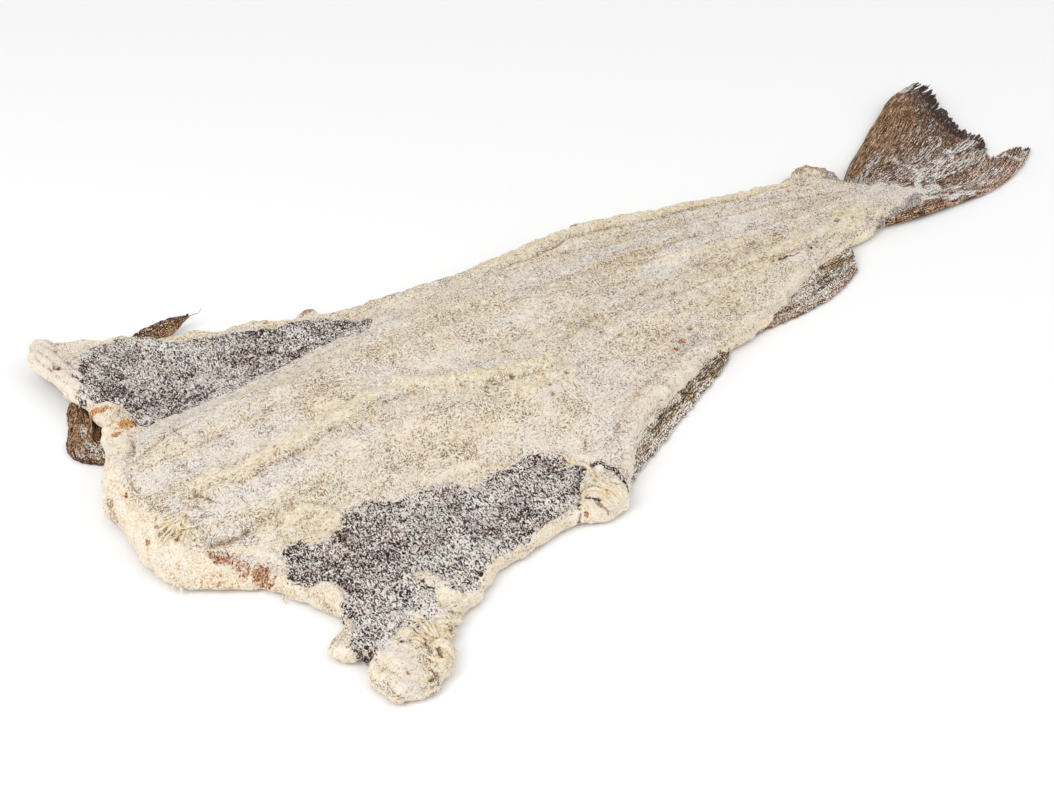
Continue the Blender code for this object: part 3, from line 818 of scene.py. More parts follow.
def piece(name, mesh, material):
    """Makes an object that rides with the fish, stands for the plain solid and takes a finish."""
    made = linked(name, mesh)
    mesh.materials.clear()
    mesh.materials.append(material)
    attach(made, BODY)
    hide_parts("cod")


def mesh_of(name, points, faces):
    """A mesh made of points and faces."""
    mesh = bpy.data.meshes.new(name)
    mesh.from_pydata(points.tolist(), [], faces)
    return mesh


def mesh_arrays(mesh):
    """A mesh's vertex positions and normals as arrays."""
    count = len(mesh.vertices)
    places, normals = np.empty(count * 3), np.empty(count * 3)
    mesh.vertices.foreach_get("co", places)
    mesh.vertices.foreach_get("normal", normals)
    return places.reshape(-1, 3), normals.reshape(-1, 3)


def set_attribute(mesh, name, values):
    """Stores one number for each vertex, for the material to read."""
    attribute = mesh.attributes.new(name, "FLOAT", "POINT")
    attribute.data.foreach_set("value", np.asarray(values, dtype=np.float32))


def set_vector(mesh, name, vectors):
    """Stores a vector for each vertex, for the material to read."""
    attribute = mesh.attributes.new(name, "FLOAT_VECTOR", "POINT")
    attribute.data.foreach_set("vector", np.asarray(vectors, dtype=np.float32).ravel())


def settle(mesh, places):
    """Moves a mesh from the fish's plan to the model's frame, and shades it smoothly."""
    mesh.vertices.foreach_set("co", place(places).ravel())
    mesh.shade_smooth()


def closed_faces(upper, count):
    """The faces of a closed slab: its upper ones, the same below, and the walls between."""
    edges = {(a, b) for face in upper.tolist() for a, b in zip(face, face[1:] + face[:1])}
    walls = [(a, a + count, b + count, b) for a, b in edges if (b, a) not in edges]
    return upper.tolist() + (upper[:, ::-1] + count).tolist() + walls


def slab_mesh(name, outline, spacing, rings, heights, rim_wall=1.2):
    """A closed slab over an outline, between the bottom and top that heights(plan, edge) gives."""
    low, high = outline.min(axis=0), outline.max(axis=0)
    rows = []
    for number, y in enumerate(np.arange(low[1], high[1], spacing * math.sqrt(0.75))):
        x = np.arange(low[0] + (number % 2) * spacing / 2, high[0], spacing)
        rows.append(np.column_stack((x, np.full(len(x), y))))
    filling = np.vstack(rows)
    filling = filling[inside_path(filling, outline)]
    clear = distance_to_path(filling, outline, closed=True) > rings[-1] + 0.5 * spacing
    plan = np.vstack([outline] + [inset(outline, ring, 0.85) for ring in rings] + [filling[clear]])
    sides = [(i, (i + 1) % len(outline)) for i in range(len(outline))]
    flat = delaunay_2d_cdt([Vector(p) for p in plan.tolist()], sides, [], 1, 1e-6)
    plan = np.array([tuple(v) for v in flat[0]])
    faces = np.array([tuple(f) for f in flat[2]])
    bottom, top = heights(plan, distance_to_path(plan, outline, closed=True))
    top = np.maximum(top, bottom + rim_wall)
    points = np.vstack((np.column_stack((plan, top)), np.column_stack((plan, bottom))))
    return mesh_of(name, points, closed_faces(faces, len(plan)))


def sheet_mesh(name, top, thickness, keep=None):
    """A thin closed sheet over the kept cells of a grid of points, and the points that it uses."""
    rows, columns = top.shape[:2]
    normals = unit(np.cross(np.gradient(top, axis=0), np.gradient(top, axis=1)))
    index = np.arange(rows * columns).reshape(rows, columns)
    cells = np.stack((index[:-1, :-1], index[1:, :-1], index[1:, 1:], index[:-1, 1:]), axis=-1)
    cells = cells.reshape(-1, 4) if keep is None else cells[keep]
    if normals[..., 2].mean() < 0.0:
        normals = -normals
        cells = cells[:, ::-1]
    faces = np.array(closed_faces(cells, rows * columns))
    points = np.vstack((top.reshape(-1, 3), (top - normals * thickness).reshape(-1, 3)))
    used = np.unique(faces)
    renumbered = np.zeros(len(points), dtype=int)
    renumbered[used] = np.arange(len(used))
    return mesh_of(name, points[used], renumbered[faces].tolist()), used


def applied(holder):
    """The object's mesh with its modifiers applied; the object is removed."""
    depsgraph = bpy.context.evaluated_depsgraph_get()
    result = bpy.data.meshes.new_from_object(holder.evaluated_get(depsgraph))
    bpy.data.objects.remove(holder, do_unlink=True)
    return result


def remeshed(mesh, voxel, smoothing):
    """The mesh rebuilt of even small faces, then smoothed a little."""
    holder = linked("holder", mesh)
    remesh = holder.modifiers.new("remesh", "REMESH")
    remesh.mode = "VOXEL"
    remesh.voxel_size = voxel
    remesh.adaptivity = 0.0
    smooth = holder.modifiers.new("smooth", "SMOOTH")
    smooth.factor = 0.5
    smooth.iterations = smoothing
    return applied(holder)


def thin_flat_underside(mesh, share):
    """Merges small faces on the flat underside, where nothing fine is needed."""
    holder = linked("holder", mesh)
    places, normals = mesh_arrays(mesh)
    flat = np.flatnonzero((normals[:, 2] < -0.97) & (places[:, 2] < 1.0))
    group = holder.vertex_groups.new(name="flat")
    group.add(flat.tolist(), 1.0, "REPLACE")
    decimate = holder.modifiers.new("decimate", "DECIMATE")
    decimate.ratio = share
    decimate.vertex_group = "flat"
    return applied(holder)


# ------------------------------------------------------------------ the flesh's form

def half_width(x):
    """Half the width of the fish at places along it, which its muscle fibres follow."""
    return profile(x, HALF_WIDTHS)


def flap_share(x, y):
    """1 on the thin belly flaps, 0 on the thick loins and the tail half, with a slope between."""
    beyond = (np.abs(y) - 28.0 - 18.0 * smooth_step((x - 100.0) / 70.0)) / 52.0
    return smooth_step(beyond) * (1.0 - smooth_step((x - 160.0) / 60.0))


def body_heights(plan, edge):
    """The split body: two rounded loins, thin flaps, a raised far collar and a rounded edge."""
    x, y = plan[:, 0], plan[:, 1]
    thickness = profile(x, SPINE_PROFILE)
    loin_middle = 30.0 - 12.0 * smooth_step((x - 150.0) / 350.0)
    off_middle = np.minimum(np.abs(np.abs(y) - loin_middle) / loin_middle, 1.5)
    thickness = thickness * (1.0 - 0.12 * off_middle**2)
    share = flap_share(x, y)
    thickness = thickness * (1.0 - share) + FLAP_THICKNESS * share
    collar = smooth_step((38.0 - x) / 45.0) * smooth_step((y - 50.0) / 25.0)
    lift = COLLAR_LIFT * collar
    radius = np.clip(0.62 * thickness, 4.5, 15.0)
    rounding = np.sqrt(np.clip(1.0 - (1.0 - np.clip(edge / radius, 0.0, 1.0)) ** 2, 0.0, 1.0))
    shoulder = 0.38 * thickness
    under = 0.1 * thickness * (1.0 - smooth_step(edge / (0.8 * radius)))
    return lift + under, lift + shoulder + (thickness - shoulder) * rounding


def flesh_heights(plan, edge):
    """The flesh, which starts just above the skin."""
    bottom, top = body_heights(plan, edge)
    return bottom + SKIN_THICKNESS, top


def skin_heights(plan, edge):
    """The skin: a sheet under the flesh, short of its edge, that reaches a little way into it."""
    bottom, _ = body_heights(plan, edge + SKIN_INSET)
    return bottom, bottom + SKIN_THICKNESS + SKIN_OVERLAP


class Canvas:
    """Features worked into plan points: how far each point is raised, and its looks, 0 to 1."""

    def __init__(self, plan, looks, seed):
        noise = Noise(seed)
        self.plan = plan
        flat = on_floor(plan)
        self.ragged = 1.6 * noise(flat, 6.0) + 1.1 * noise(flat + 50.0, 2.6)
        self.height = np.zeros(len(plan))
        self.looks = {name: np.zeros(len(plan)) for name in looks}

    def add(self, where, share, height, look, strength):
        """Raises the points by a height and gives them a look, as far as their share goes."""
        self.height[where] += height * share
        channel = self.looks[look]
        channel[where] = np.maximum(channel[where], strength * share)

    def strengthen(self, look, values):
        """Makes a look stronger where the values are higher."""
        self.looks[look] = np.maximum(self.looks[look], values)

    def paint(self, strokes):
        """Flat looks along paths: each a path, half its width, the look and its strength."""
        for path, half, look, strength in strokes:
            self.stroke(path, half, 0.0, look, strength)

    def stroke(self, path, half, height, look, strength):
        """A feature along a path, strongest in the middle."""
        path = smooth_curve(path, 4.0, closed=False)
        reach = half * 1.5 + 2.0
        low, high = path.min(axis=0) - reach, path.max(axis=0) + reach
        where = np.nonzero(np.all((self.plan > low) & (self.plan < high), axis=1))[0]
        distance = distance_to_path(self.plan[where], path)
        distance += self.ragged[where] * min(1.0, half / 4.0)
        self.add(where, smooth_step(1.4 * (1.0 - distance / half)), height, look, strength)

    def spot(self, centre, radii, height, look, strength):
        """A round or oval feature."""
        offset = (self.plan - centre) / radii
        where = np.nonzero(np.abs(offset).max(axis=1) < 1.6)[0]
        distance = np.linalg.norm(offset[where], axis=1)
        distance += self.ragged[where] * min(1.0, min(radii) / 5.0) / min(radii)
        self.add(where, smooth_step(1.8 * (1.15 - distance)), height, look, strength)

    def patch(self, outline, height, look, strength, border=2.5):
        """A feature that fills an outline."""
        inside = signed_distance(self.plan, smooth_curve(outline, 4.0), reach=12.0) + self.ragged
        share = smooth_step(0.5 + inside / (2.0 * border))
        self.add(slice(None), share, height, look, strength)


def worked_flesh(plan):
    """The canvas with all of the flesh's features on it."""
    canvas = Canvas(plan, LOOKS, seed=11)
    for path, half, height, look, strength in STROKES:
        canvas.stroke(path, half, height, look, strength)
    for centre, radii, height, look, strength in SPOTS:
        canvas.spot(centre, radii, height, look, strength)
    # The pits' brown floors are partly painted shade.
    for x, y, radius in PITS:
        canvas.spot((x, y), (0.8 * radius, 0.8 * radius), -1.1 * radius, "brown", 1.2)
    for outline, height, look, strength in LOBES:
        canvas.patch(outline, height, look, strength, border=0.9)
        # Painted shadow: a brown line cut round the lobe's edge.
        canvas.stroke(outline + outline[:1], 1.3, -0.9, "brown", 0.4)
    # Painted shade: brown cuts in the gaps between the fibres of the nape's fan.
    for start, end in zip(COMB_ENDS[:-1], COMB_ENDS[1:]):
        between = np.add(start, end) / 2
        canvas.stroke((0.35 * between + 0.65 * np.array(COMB_START), between), 1.1, -1.0, "brown", 0.5)
    for outline in BARE_SKIN:
        canvas.patch(outline, -0.3, "skin", 1.0)
    for landmarks in (NEAR_LINING, FAR_LINING):
        inside = signed_distance(plan, smooth_curve(landmarks, 3.0), reach=8.0) + 0.6 * canvas.ragged
        canvas.height -= 0.6 * smooth_step(0.5 + inside / 2.0)
        canvas.strengthen("dark", 0.36 * smooth_step(1.0 - np.abs(inside + 1.0) / 3.0))
    return canvas


def muscle_rows(points):
    """The short oblique rows of muscle along the middle of the rear half, 0 to 1."""
    x, y, _ = points.T
    off_middle = np.abs(y - 10.0 + 0.05 * (x - 330.0))
    rows = 0.5 + 0.5 * np.sin(math.tau * (x + 0.75 * off_middle) / 8.5)
    return smooth_step(1.0 - off_middle / 17.0) * band(x, 320.0, 30.0, 480.0, 25.0) * rows


def stream_coordinates(points):
    """Coordinates that run along the muscle fibres, which draw together towards the tail."""
    x, y, z = points.T
    bend = 8.0 * np.sin(x / 95.0)
    return np.column_stack((x, (y + bend) * 90.0 / half_width(x), z))


def flesh_relief(points, canvas):
    """How far the flesh stands out along its normals, and the part that catches light or shade."""
    noise = Noise(seed=5)
    x, y, z = points.T
    stream = stream_coordinates(points)
    looks = canvas.looks
    bare = np.clip(looks["cream"] + looks["pale"] + looks["pink"], 0.0, 1.0)
    upward = smooth_step((z - 1.5) / 3.0)
    swell = 0.9 * noise.layers(points, (60.0, 22.0, 60.0), 2)
    ridged = 0.2 + 0.8 * smooth_step((x - 230.0) / 90.0)
    grooves = 0.75 * ridged * noise.billow(stream + 17.0, (95.0, 9.0, 14.0), 2) * upward
    fibre = (0.4 - 0.2 * bare) * noise.layers(stream + 11.0, (17.0, 3.0, 9.0), 2)
    lumps = 0.42 * noise.layers(points + 23.0, 7.5, 2)
    curds = looks["cream"] * 0.8 * noise.billow(points + 31.0, (5.5, 4.0, 5.0), 2)
    folds_of_face = looks["pale"] * 0.45 * noise.billow(points + 41.0, (7.0, 5.0, 5.0), 3)
    crust = (0.4 - 0.15 * bare) * noise(points + 7.0, 2.9) + 0.24 * noise(points + 3.0, 1.8)
    rows = 0.7 * muscle_rows(points)
    torn = sum((x > x0) & (x < x1) & (y > y0) & (y < y1) for x0, x1, y0, y1 in TORN_AREAS) * bare
    frayed = 0.9 * torn * noise.billow(points + 61.0, (4.6, 3.2, 4.0), 2)
    collar = smooth_step((-x + 14.0) / 12.0) * smooth_step((y - 58.0) / 10.0)
    folds = 0.4 * collar * np.sin((x + 0.12 * y + 2.2 * noise(points, 14.0)) * math.tau / 4.6)
    rim = 0.5 * noise(points + 63.0, (3.2, 3.2, 14.0)) * (np.abs(y) > half_width(x) * 0.86)
    detail = grooves + lumps + curds + folds_of_face + frayed + rows + folds * upward
    return swell * upward + fibre + crust + rim * upward + detail, detail + fibre


# ------------------------------------------------------------------ the finished surface

class Surface:
    """The flesh's finished top, for pieces that lie on it."""

    def __init__(self, places, mesh):
        mesh.calc_loop_triangles()
        corners = np.empty(len(mesh.loop_triangles) * 3, dtype=np.int32)
        mesh.loop_triangles.foreach_get("vertices", corners)
        self.tree = BVHTree.FromPolygons(places.tolist(), corners.reshape(-1, 3).tolist())

    def height(self, x, y):
        """The height of the top at a plan point, or None beside the fish."""
        hit = self.tree.ray_cast(Vector((x, y, ABOVE)), Vector((0.0, 0.0, -1.0)))[0]
        return None if hit is None else hit.z

    def heights(self, plan, missing=0.0):
        """The heights of the top at many plan points."""
        found = [self.height(x, y) for x, y in plan.tolist()]
        return np.array([missing if z is None else z for z in found])


# ------------------------------------------------------------------ materials

def srgb(red, green, blue):
    """A colour given as 0 to 255 screen values, in the linear values that shaders take."""
    def linear(value):
        value = min(value * GAIN, 255.0) / 255.0
        return value / 12.92 if value <= 0.04045 else ((value + 0.055) / 1.055) ** 2.4
    return linear(red), linear(green), linear(blue), 1.0


class Finish:
    """A material under construction: makes nodes and links them."""

    def __init__(self, name, roughness):
        self.material = bpy.data.materials.new(name)
        self.material.use_nodes = True
        self.tree = self.material.node_tree
        self.shader = self.tree.nodes["Principled BSDF"]
        self.shader.inputs["Roughness"].default_value = roughness
        self.shader.inputs["Specular IOR Level"].default_value = 0.35

    def feed(self, socket, value):
        """Links a socket to another node's output, or sets its value."""
        if isinstance(value, bpy.types.NodeSocket):
            self.tree.links.new(value, socket)
        else:
            socket.default_value = value

    def node(self, kind, output, sockets, **settings):
        """One output of a new node with some of its settings made and its sockets fed."""
        made = self.tree.nodes.new("ShaderNode" + kind)
        for key, value in settings.items():
            setattr(made, key, value)
        for socket, value in sockets.items():
            self.feed(made.inputs[socket], value)
        return made.outputs[output]

    def places(self):
        """Points of the surface in the part's frame, in millimetres."""
        return self.scaled(self.node("TexCoord", "Object", {}), (1.0 / MM, 1.0 / MM, 1.0 / MM))

    def scaled(self, vector, scale, offset=(0.0, 0.0, 0.0)):
        """A vector with its axes stretched."""
        return self.node("Mapping", "Vector", {"Vector": vector, "Scale": scale, "Location": offset})

    def leaning(self, vector, stretch, angle=SLANT):
        """Points drawn out along a slanting run, by default the salt crust's."""
        sockets = {"Vector": vector, "Rotation": (0.0, 0.0, angle), "Scale": (stretch, 1.0, 1.0)}
        return self.node("Mapping", "Vector", sockets, vector_type="TEXTURE")

    def attribute(self, name, output="Fac"):
        """A number, or a vector, that the mesh carries."""
        return self.node("Attribute", output, {}, attribute_name=name)

    def noise(self, vector, size, detail=2.0, roughness=0.55, distortion=0.0):
        """Cloudy noise of a feature size, about 0.3 to 0.7; distortion curls it."""
        return self.node("TexNoise", "Fac", {"Vector": vector, "Scale": 1.0 / size, "Detail": detail,
                                             "Roughness": roughness, "Distortion": distortion})

    def curls(self, vector, size):
        """Short curled fibres that run along the fish in some places and across it in others."""
        along, across = (self.noise(self.leaning(vector, 2.2, angle), size, 1.5, 0.5, 0.5)
                         for angle in (ALONG, ACROSS))
        share = self.step(self.noise(vector, 8.0, 2.0), 0.44, 0.56)
        return self.maths("ADD", along, self.times(share, self.maths("SUBTRACT", across, along)))

    def cells(self, vector, size):
        """The distance to the middle of the nearest cell, 0 to about 0.7."""
        return self.node("TexVoronoi", "Distance", {"Vector": vector, "Scale": 1.0 / size})

    def maths(self, operation, first, second):
        """A sum, a product or the like of two numbers."""
        return self.node("Math", "Value", {0: first, 1: second}, operation=operation)

    def times(self, first, second):
        """The product of two numbers."""
        return self.maths("MULTIPLY", first, second)

    def total(self, *parts):
        """The sum of (weight, value) pairs."""
        result, *others = [self.times(value, weight) for weight, value in parts]
        for other in others:
            result = self.maths("ADD", result, other)
        return result

    def step(self, value, low, high):
        """0 up to low, 1 from high, and an even S-curve between."""
        sockets = {"Value": value, "From Min": low, "From Max": high}
        return self.node("MapRange", "Result", sockets, interpolation_type="SMOOTHSTEP")

    def blend(self, share, first, second):
        """From the first colour to the second by a share, through the colour sockets of the node."""
        return self.node("Mix", 2, {0: share, 6: first, 7: second}, data_type="RGBA")

    def ramp(self, value, *stops):
        """A colour ramp through (place, red, green, blue) stops."""
        made = self.tree.nodes.new("ShaderNodeValToRGB")
        elements = made.color_ramp.elements
        while len(elements) < len(stops):
            elements.new(0.5)
        for element, (position, red, green, blue) in zip(elements, stops):
            element.position = position
            element.color = srgb(red, green, blue)
        self.feed(made.inputs["Fac"], value)
        return made.outputs["Color"]

    def flecked(self, amount, grain, reach, soft):
        """An area broken into flecks by grain: few where the amount is low, closed where it is 1."""
        level = self.total((reach, amount), (1.0, grain))
        return self.step(level, FLECK_LEVEL - soft, FLECK_LEVEL + soft)

    def cover(self, colour, name, coat, grain, reach, soft, most=1.0):
        """The colour with a coat over it, in flecks, where the mesh has the look of this name."""
        share = self.flecked(self.attribute(name), grain, reach, soft)
        return self.blend(self.times(share, most), colour, coat)

    def finish(self, colour, height, distance, strength=1.0):
        """Gives the shader its colour and its fine relief, distance in millimetres."""
        self.feed(self.shader.inputs["Base Color"], colour)
        relief = {"Strength": strength, "Distance": distance * MM, "Height": height}
        self.feed(self.shader.inputs["Normal"], self.node("Bump", "Normal", relief))
        return self.material


def flesh_material():
    """Dried flesh: a cream and grey salt crust with small tan pits, bare cream cuts and stains, darkened by
    painted shade in the hollows of its relief.
    """
    look = Finish("flesh", 0.85)
    places = look.places()
    stream = look.attribute("stream", "Vector")
    painted_relief_shade = look.attribute("painted_relief_shade")
    slanted = look.leaning(places, 1.55)
    grain = look.noise(slanted, 0.76, 1.5, 0.5, 0.5)
    fibre = look.noise(look.scaled(stream, (1 / 5, 1 / 1.1, 1 / 1.1)), 1.0, 2.0)
    fleck = look.noise(slanted, 2.8, 3.0, 0.6, 0.5)
    cloud = look.noise(places, 15.0, 3.0)
    drift = look.noise(look.scaled(stream, (1 / 70, 1 / 24, 1 / 24)), 1.0, 3.0)
    coarse = look.step(look.noise(places, 13.0, 3.0, 0.6), 0.42, 0.6)
    curled = look.curls(places, 0.82)
    rough = look.total((0.52, curled), (0.34, grain), (0.12, fibre), (0.14, fleck), (-0.06, 1.0))
    contrast = look.total((0.82, coarse), (0.88, 1.0))
    texture = look.maths("ADD", look.times(look.maths("SUBTRACT", rough, 0.5), contrast), 0.5)

    # Painted shade: the crust is darker in the hollows of the relief and lighter on its ridges.
    crust = look.total((1.0, texture), (0.1, cloud), (0.13, drift), (-0.024, painted_relief_shade), (0.031, 1.0))
    salted = look.ramp(crust, (0.5, 146, 118, 87), (0.57, 193, 173, 147), (0.61, 223, 206, 182),
                       (0.65, 239, 225, 204), (0.73, 253, 245, 231))
    lilac = look.ramp(crust, (0.5, 158, 138, 123), (0.57, 209, 194, 181), (0.61, 231, 218, 205),
                      (0.65, 241, 231, 218), (0.73, 253, 248, 240))
    straw = look.ramp(crust, (0.5, 150, 120, 82), (0.57, 200, 177, 140), (0.61, 229, 209, 174),
                      (0.65, 242, 227, 196), (0.73, 253, 246, 228))
    hue = look.noise(places, 30.0, 3.0)
    colour = look.blend(look.times(look.step(hue, 0.5, 0.62), 0.6), salted, straw)
    grey = look.step(look.total((0.5, look.attribute("grey")), (1.0, drift)), 0.5, 0.85)
    cool = look.times(look.step(hue, 0.49, 0.38), 0.75)
    colour = look.blend(look.maths("MAXIMUM", grey, cool), colour, lilac)

    freckles = look.times(look.step(look.cells(slanted, 1.9), 0.3, 0.14),
                          look.step(look.noise(places, 11.0, 3.0, 0.65), 0.49, 0.62))
    tan = look.ramp(grain, (0.32, 100, 62, 26), (0.5, 166, 128, 82), (0.66, 218, 194, 156))
    colour = look.blend(look.times(freckles, 0.6), colour, tan)

    fibres = look.total((0.5, curled), (0.25, fibre), (0.25, fleck))
    smooth = look.total((0.3, texture), (0.7, fibres))
    # Painted shade: the bare flesh's colours are also darker in the hollows of the relief.
    warm = look.ramp(look.total((1.0, smooth), (-0.03, painted_relief_shade)), (0.36, 160, 122, 76),
                     (0.43, 214, 190, 150), (0.49, 240, 223, 190), (0.56, 254, 245, 224))
    pale = look.ramp(look.total((1.0, smooth), (-0.025, painted_relief_shade)), (0.36, 206, 164, 120),
                     (0.43, 238, 214, 180), (0.49, 252, 237, 211), (0.57, 255, 247, 232))
    pink = look.ramp(look.total((1.0, smooth), (-0.04, painted_relief_shade)), (0.37, 196, 158, 138),
                     (0.44, 236, 215, 196), (0.53, 252, 241, 228))
    orange = look.ramp(grain, (0.36, 112, 38, 0), (0.48, 200, 112, 8), (0.6, 240, 190, 92))
    blood = look.ramp(grain, (0.34, 76, 20, 0), (0.48, 158, 80, 30), (0.62, 230, 190, 146))
    dark = look.ramp(grain, (0.34, 30, 10, 8), (0.62, 142, 112, 98))
    skin = look.ramp(look.total((0.45, fibre), (0.55, grain)), (0.37, 86, 66, 54),
                     (0.49, 152, 136, 126), (0.6, 238, 232, 226))
    edges = look.total((0.5, cloud), (0.5, fleck))
    stain = look.total((0.55, look.noise(slanted, 1.5, 2.0, 0.7)), (0.45, fleck))
    for name, coat, spread, reach, soft, most in (
        ("cream", warm, edges, 0.45, 0.2, 1.0),
        ("pale", pale, edges, 0.5, 0.18, 1.0),
        ("pink", pink, edges, 0.5, 0.18, 1.0),
        ("brown", tan, stain, 0.42, 0.07, 0.8),
        ("orange", orange, stain, 0.38, 0.09, 0.92),
        ("blood", blood, stain, 0.4, 0.07, 0.92),
        ("dark", dark, stain, 0.36, 0.07, 1.0),
        ("skin", skin, edges, 0.45, 0.15, 1.0),
    ):
        colour = look.cover(colour, name, coat, spread, reach, soft, most)
    return look.finish(colour, look.total((1.0, texture), (-0.2, freckles)), 1.0)


def lining_material():
    """The belly lining: near-black and brown, peppered with salt."""
    look = Finish("membrane", 0.75)
    places = look.places()
    slanted = look.leaning(look.scaled(places, (1, 1, 1), (5, 30, 8)), 1.5)
    flecks = look.noise(slanted, 0.85, 1.5, 0.55, 0.6)
    needles = look.noise(look.leaning(places, 2.8, ACROSS), 0.85, 1.5, 0.5, 0.7)
    calm = look.step(look.noise(places, 15.0, 2.0), 0.5, 0.62)
    stretch = look.total((-0.75, calm), (1.65, 1.0))
    fine = look.times(stretch, look.total((0.5, flecks), (0.5, needles), (-0.5, 1.0)))
    grain = look.noise(slanted, 2.3, 2.0, 0.6)
    cloud = look.noise(places, 10.0, 3.0)
    stretched = look.noise(look.scaled(places, (1 / 30, 1 / 9, 1 / 9)), 1.0, 3.0)
    salt = look.total((1.0, fine), (0.2, grain), (0.3, cloud), (0.05, look.attribute("haze")),
                      (0.14, look.attribute("feather")), (0.504, 1.0))
    grey = look.ramp(salt, (0.67, 30, 14, 14), (0.72, 84, 66, 62), (0.765, 150, 140, 135),
                     (0.81, 212, 206, 200), (0.86, 250, 246, 240))
    maroon = look.ramp(salt, (0.67, 44, 14, 8), (0.72, 100, 66, 56), (0.765, 160, 140, 130),
                       (0.81, 216, 206, 199), (0.86, 251, 245, 238))
    colour = look.blend(look.step(stretched, 0.46, 0.6), grey, maroon)
    return look.finish(colour, look.total((0.8, fine), (0.4, grain)), 1.0, 0.8)


def fin_material():
    """Dried fins: brown streaks along the rays, with rosy, olive, dark, crusted and frosted stretches."""
    look = Finish("fin", 0.65)
    places = look.places()
    flow = look.attribute("flow", "Vector")
    fine = look.noise(look.scaled(flow, (1 / 8, 1 / 0.7, 1)), 1.0, 0.5, 0.5)
    broad = look.noise(look.scaled(flow, (1 / 24, 1 / 4.5, 1)), 1.0, 2.0)
    grain = look.noise(look.leaning(places, 1.5), 0.8, 1.0, 0.5, 0.3)
    streak = look.total((0.36, fine), (0.12, broad), (0.52, grain))
    salted = look.total((0.65, grain), (0.35, fine))
    streaked = look.total((0.35, broad), (0.65, fine))
    colour = look.ramp(streak, (0.4, 26, 8, 0), (0.455, 84, 48, 20), (0.505, 126, 86, 50),
                       (0.555, 170, 132, 94), (0.61, 240, 226, 208))
    for name, value, spread, reach, soft, stops in (
        ("crust", salted, broad, 0.45, 0.2,
         ((0.41, 66, 48, 32), (0.455, 152, 131, 106), (0.505, 214, 200, 181), (0.56, 255, 251, 244))),
        ("rosy", streak, broad, 0.45, 0.2, ((0.43, 78, 40, 20), (0.49, 148, 112, 86), (0.56, 236, 222, 208))),
        ("olive", streak, broad, 0.45, 0.2, ((0.42, 44, 25, 6), (0.49, 106, 78, 44), (0.57, 196, 172, 136))),
        ("rust", streak, fine, 0.4, 0.1, ((0.4, 96, 38, 8), (0.58, 206, 140, 74))),
        ("umber", streak, broad, 0.45, 0.2, ((0.41, 38, 11, 0), (0.48, 106, 66, 29), (0.575, 200, 162, 120))),
        ("dark", streak, streaked, 0.27, 0.05, ((0.4, 14, 4, 2), (0.52, 54, 32, 24), (0.6, 112, 86, 72))),
    ):
        colour = look.cover(colour, name, look.ramp(value, *stops), spread, reach, soft)
    frost = look.maths("MAXIMUM", look.attribute("frost"), 0.26)
    frosted = look.flecked(frost, look.total((0.5, fine), (0.5, grain)), 0.24, 0.014)
    colour = look.blend(look.times(frosted, 0.92), colour, srgb(246, 242, 237))
    return look.finish(colour, look.total((0.7, fine), (0.3, grain)), 0.8, 0.8)


def shred_material():
    """Torn fibres and lips of dried flesh: smooth cream, a little darker in places."""
    look = Finish("fibres", 0.8)
    places = look.places()
    grain = look.noise(places, 1.3, 2.0)
    colour = look.ramp(look.total((0.55, grain), (0.45, look.noise(places, 6.0, 2.0))),
                       (0.36, 226, 196, 148), (0.48, 247, 230, 196), (0.62, 254, 246, 228))
    return look.finish(colour, grain, 0.6, 0.7)


def skin_material():
    """The skin under the fish: olive and brown blotches, small scales and dried salt."""
    look = Finish("skin", 0.6)
    places = look.places()
    blotch = look.noise(places, 13.0, 4.0, 0.6)
    grain = look.noise(places, 1.6, 2.0)
    scales = look.cells(places, 2.2)
    base = look.ramp(blotch, (0.36, 70, 57, 42), (0.5, 122, 106, 84), (0.64, 172, 158, 136))
    salt = look.step(look.total((0.6, grain), (0.5, look.noise(places, 30.0))), 0.54, 0.66)
    colour = look.blend(look.times(salt, 0.55), base, srgb(212, 204, 194))
    return look.finish(colour, look.total((-0.6, scales), (0.4, grain)), 0.5, 0.7)


def salt_material():
    """Salt crystals: nearly white and a little glossy."""
    look = Finish("salt", 0.45)
    places = look.places()
    tint = look.noise(places, 5.0, 2.0)
    colour = look.ramp(tint, (0.35, 224, 214, 200), (0.6, 244, 238, 229))
    return look.finish(colour, look.noise(places, 0.6), 0.1, 0.3)


# ------------------------------------------------------------------ body, skin and lining

def flesh_outline():
    """The flesh's outline, a little rough, and much rougher round the near flap's torn tip."""
    outline = smooth_curve(FLESH_OUTLINE, OUTLINE_STEP)
    outline = roughened(outline, seed=3, sizes=((1.4, 11.0), (1.1, 4.6)))
    torn = roughened(outline, seed=4, sizes=((2.6, 7.0), (1.6, 3.4)))
    share = smooth_step((62.0 - outline[:, 0]) / 14.0) * smooth_step((-150.0 - outline[:, 1]) / 10.0)
    return outline + share[:, None] * (torn - outline)


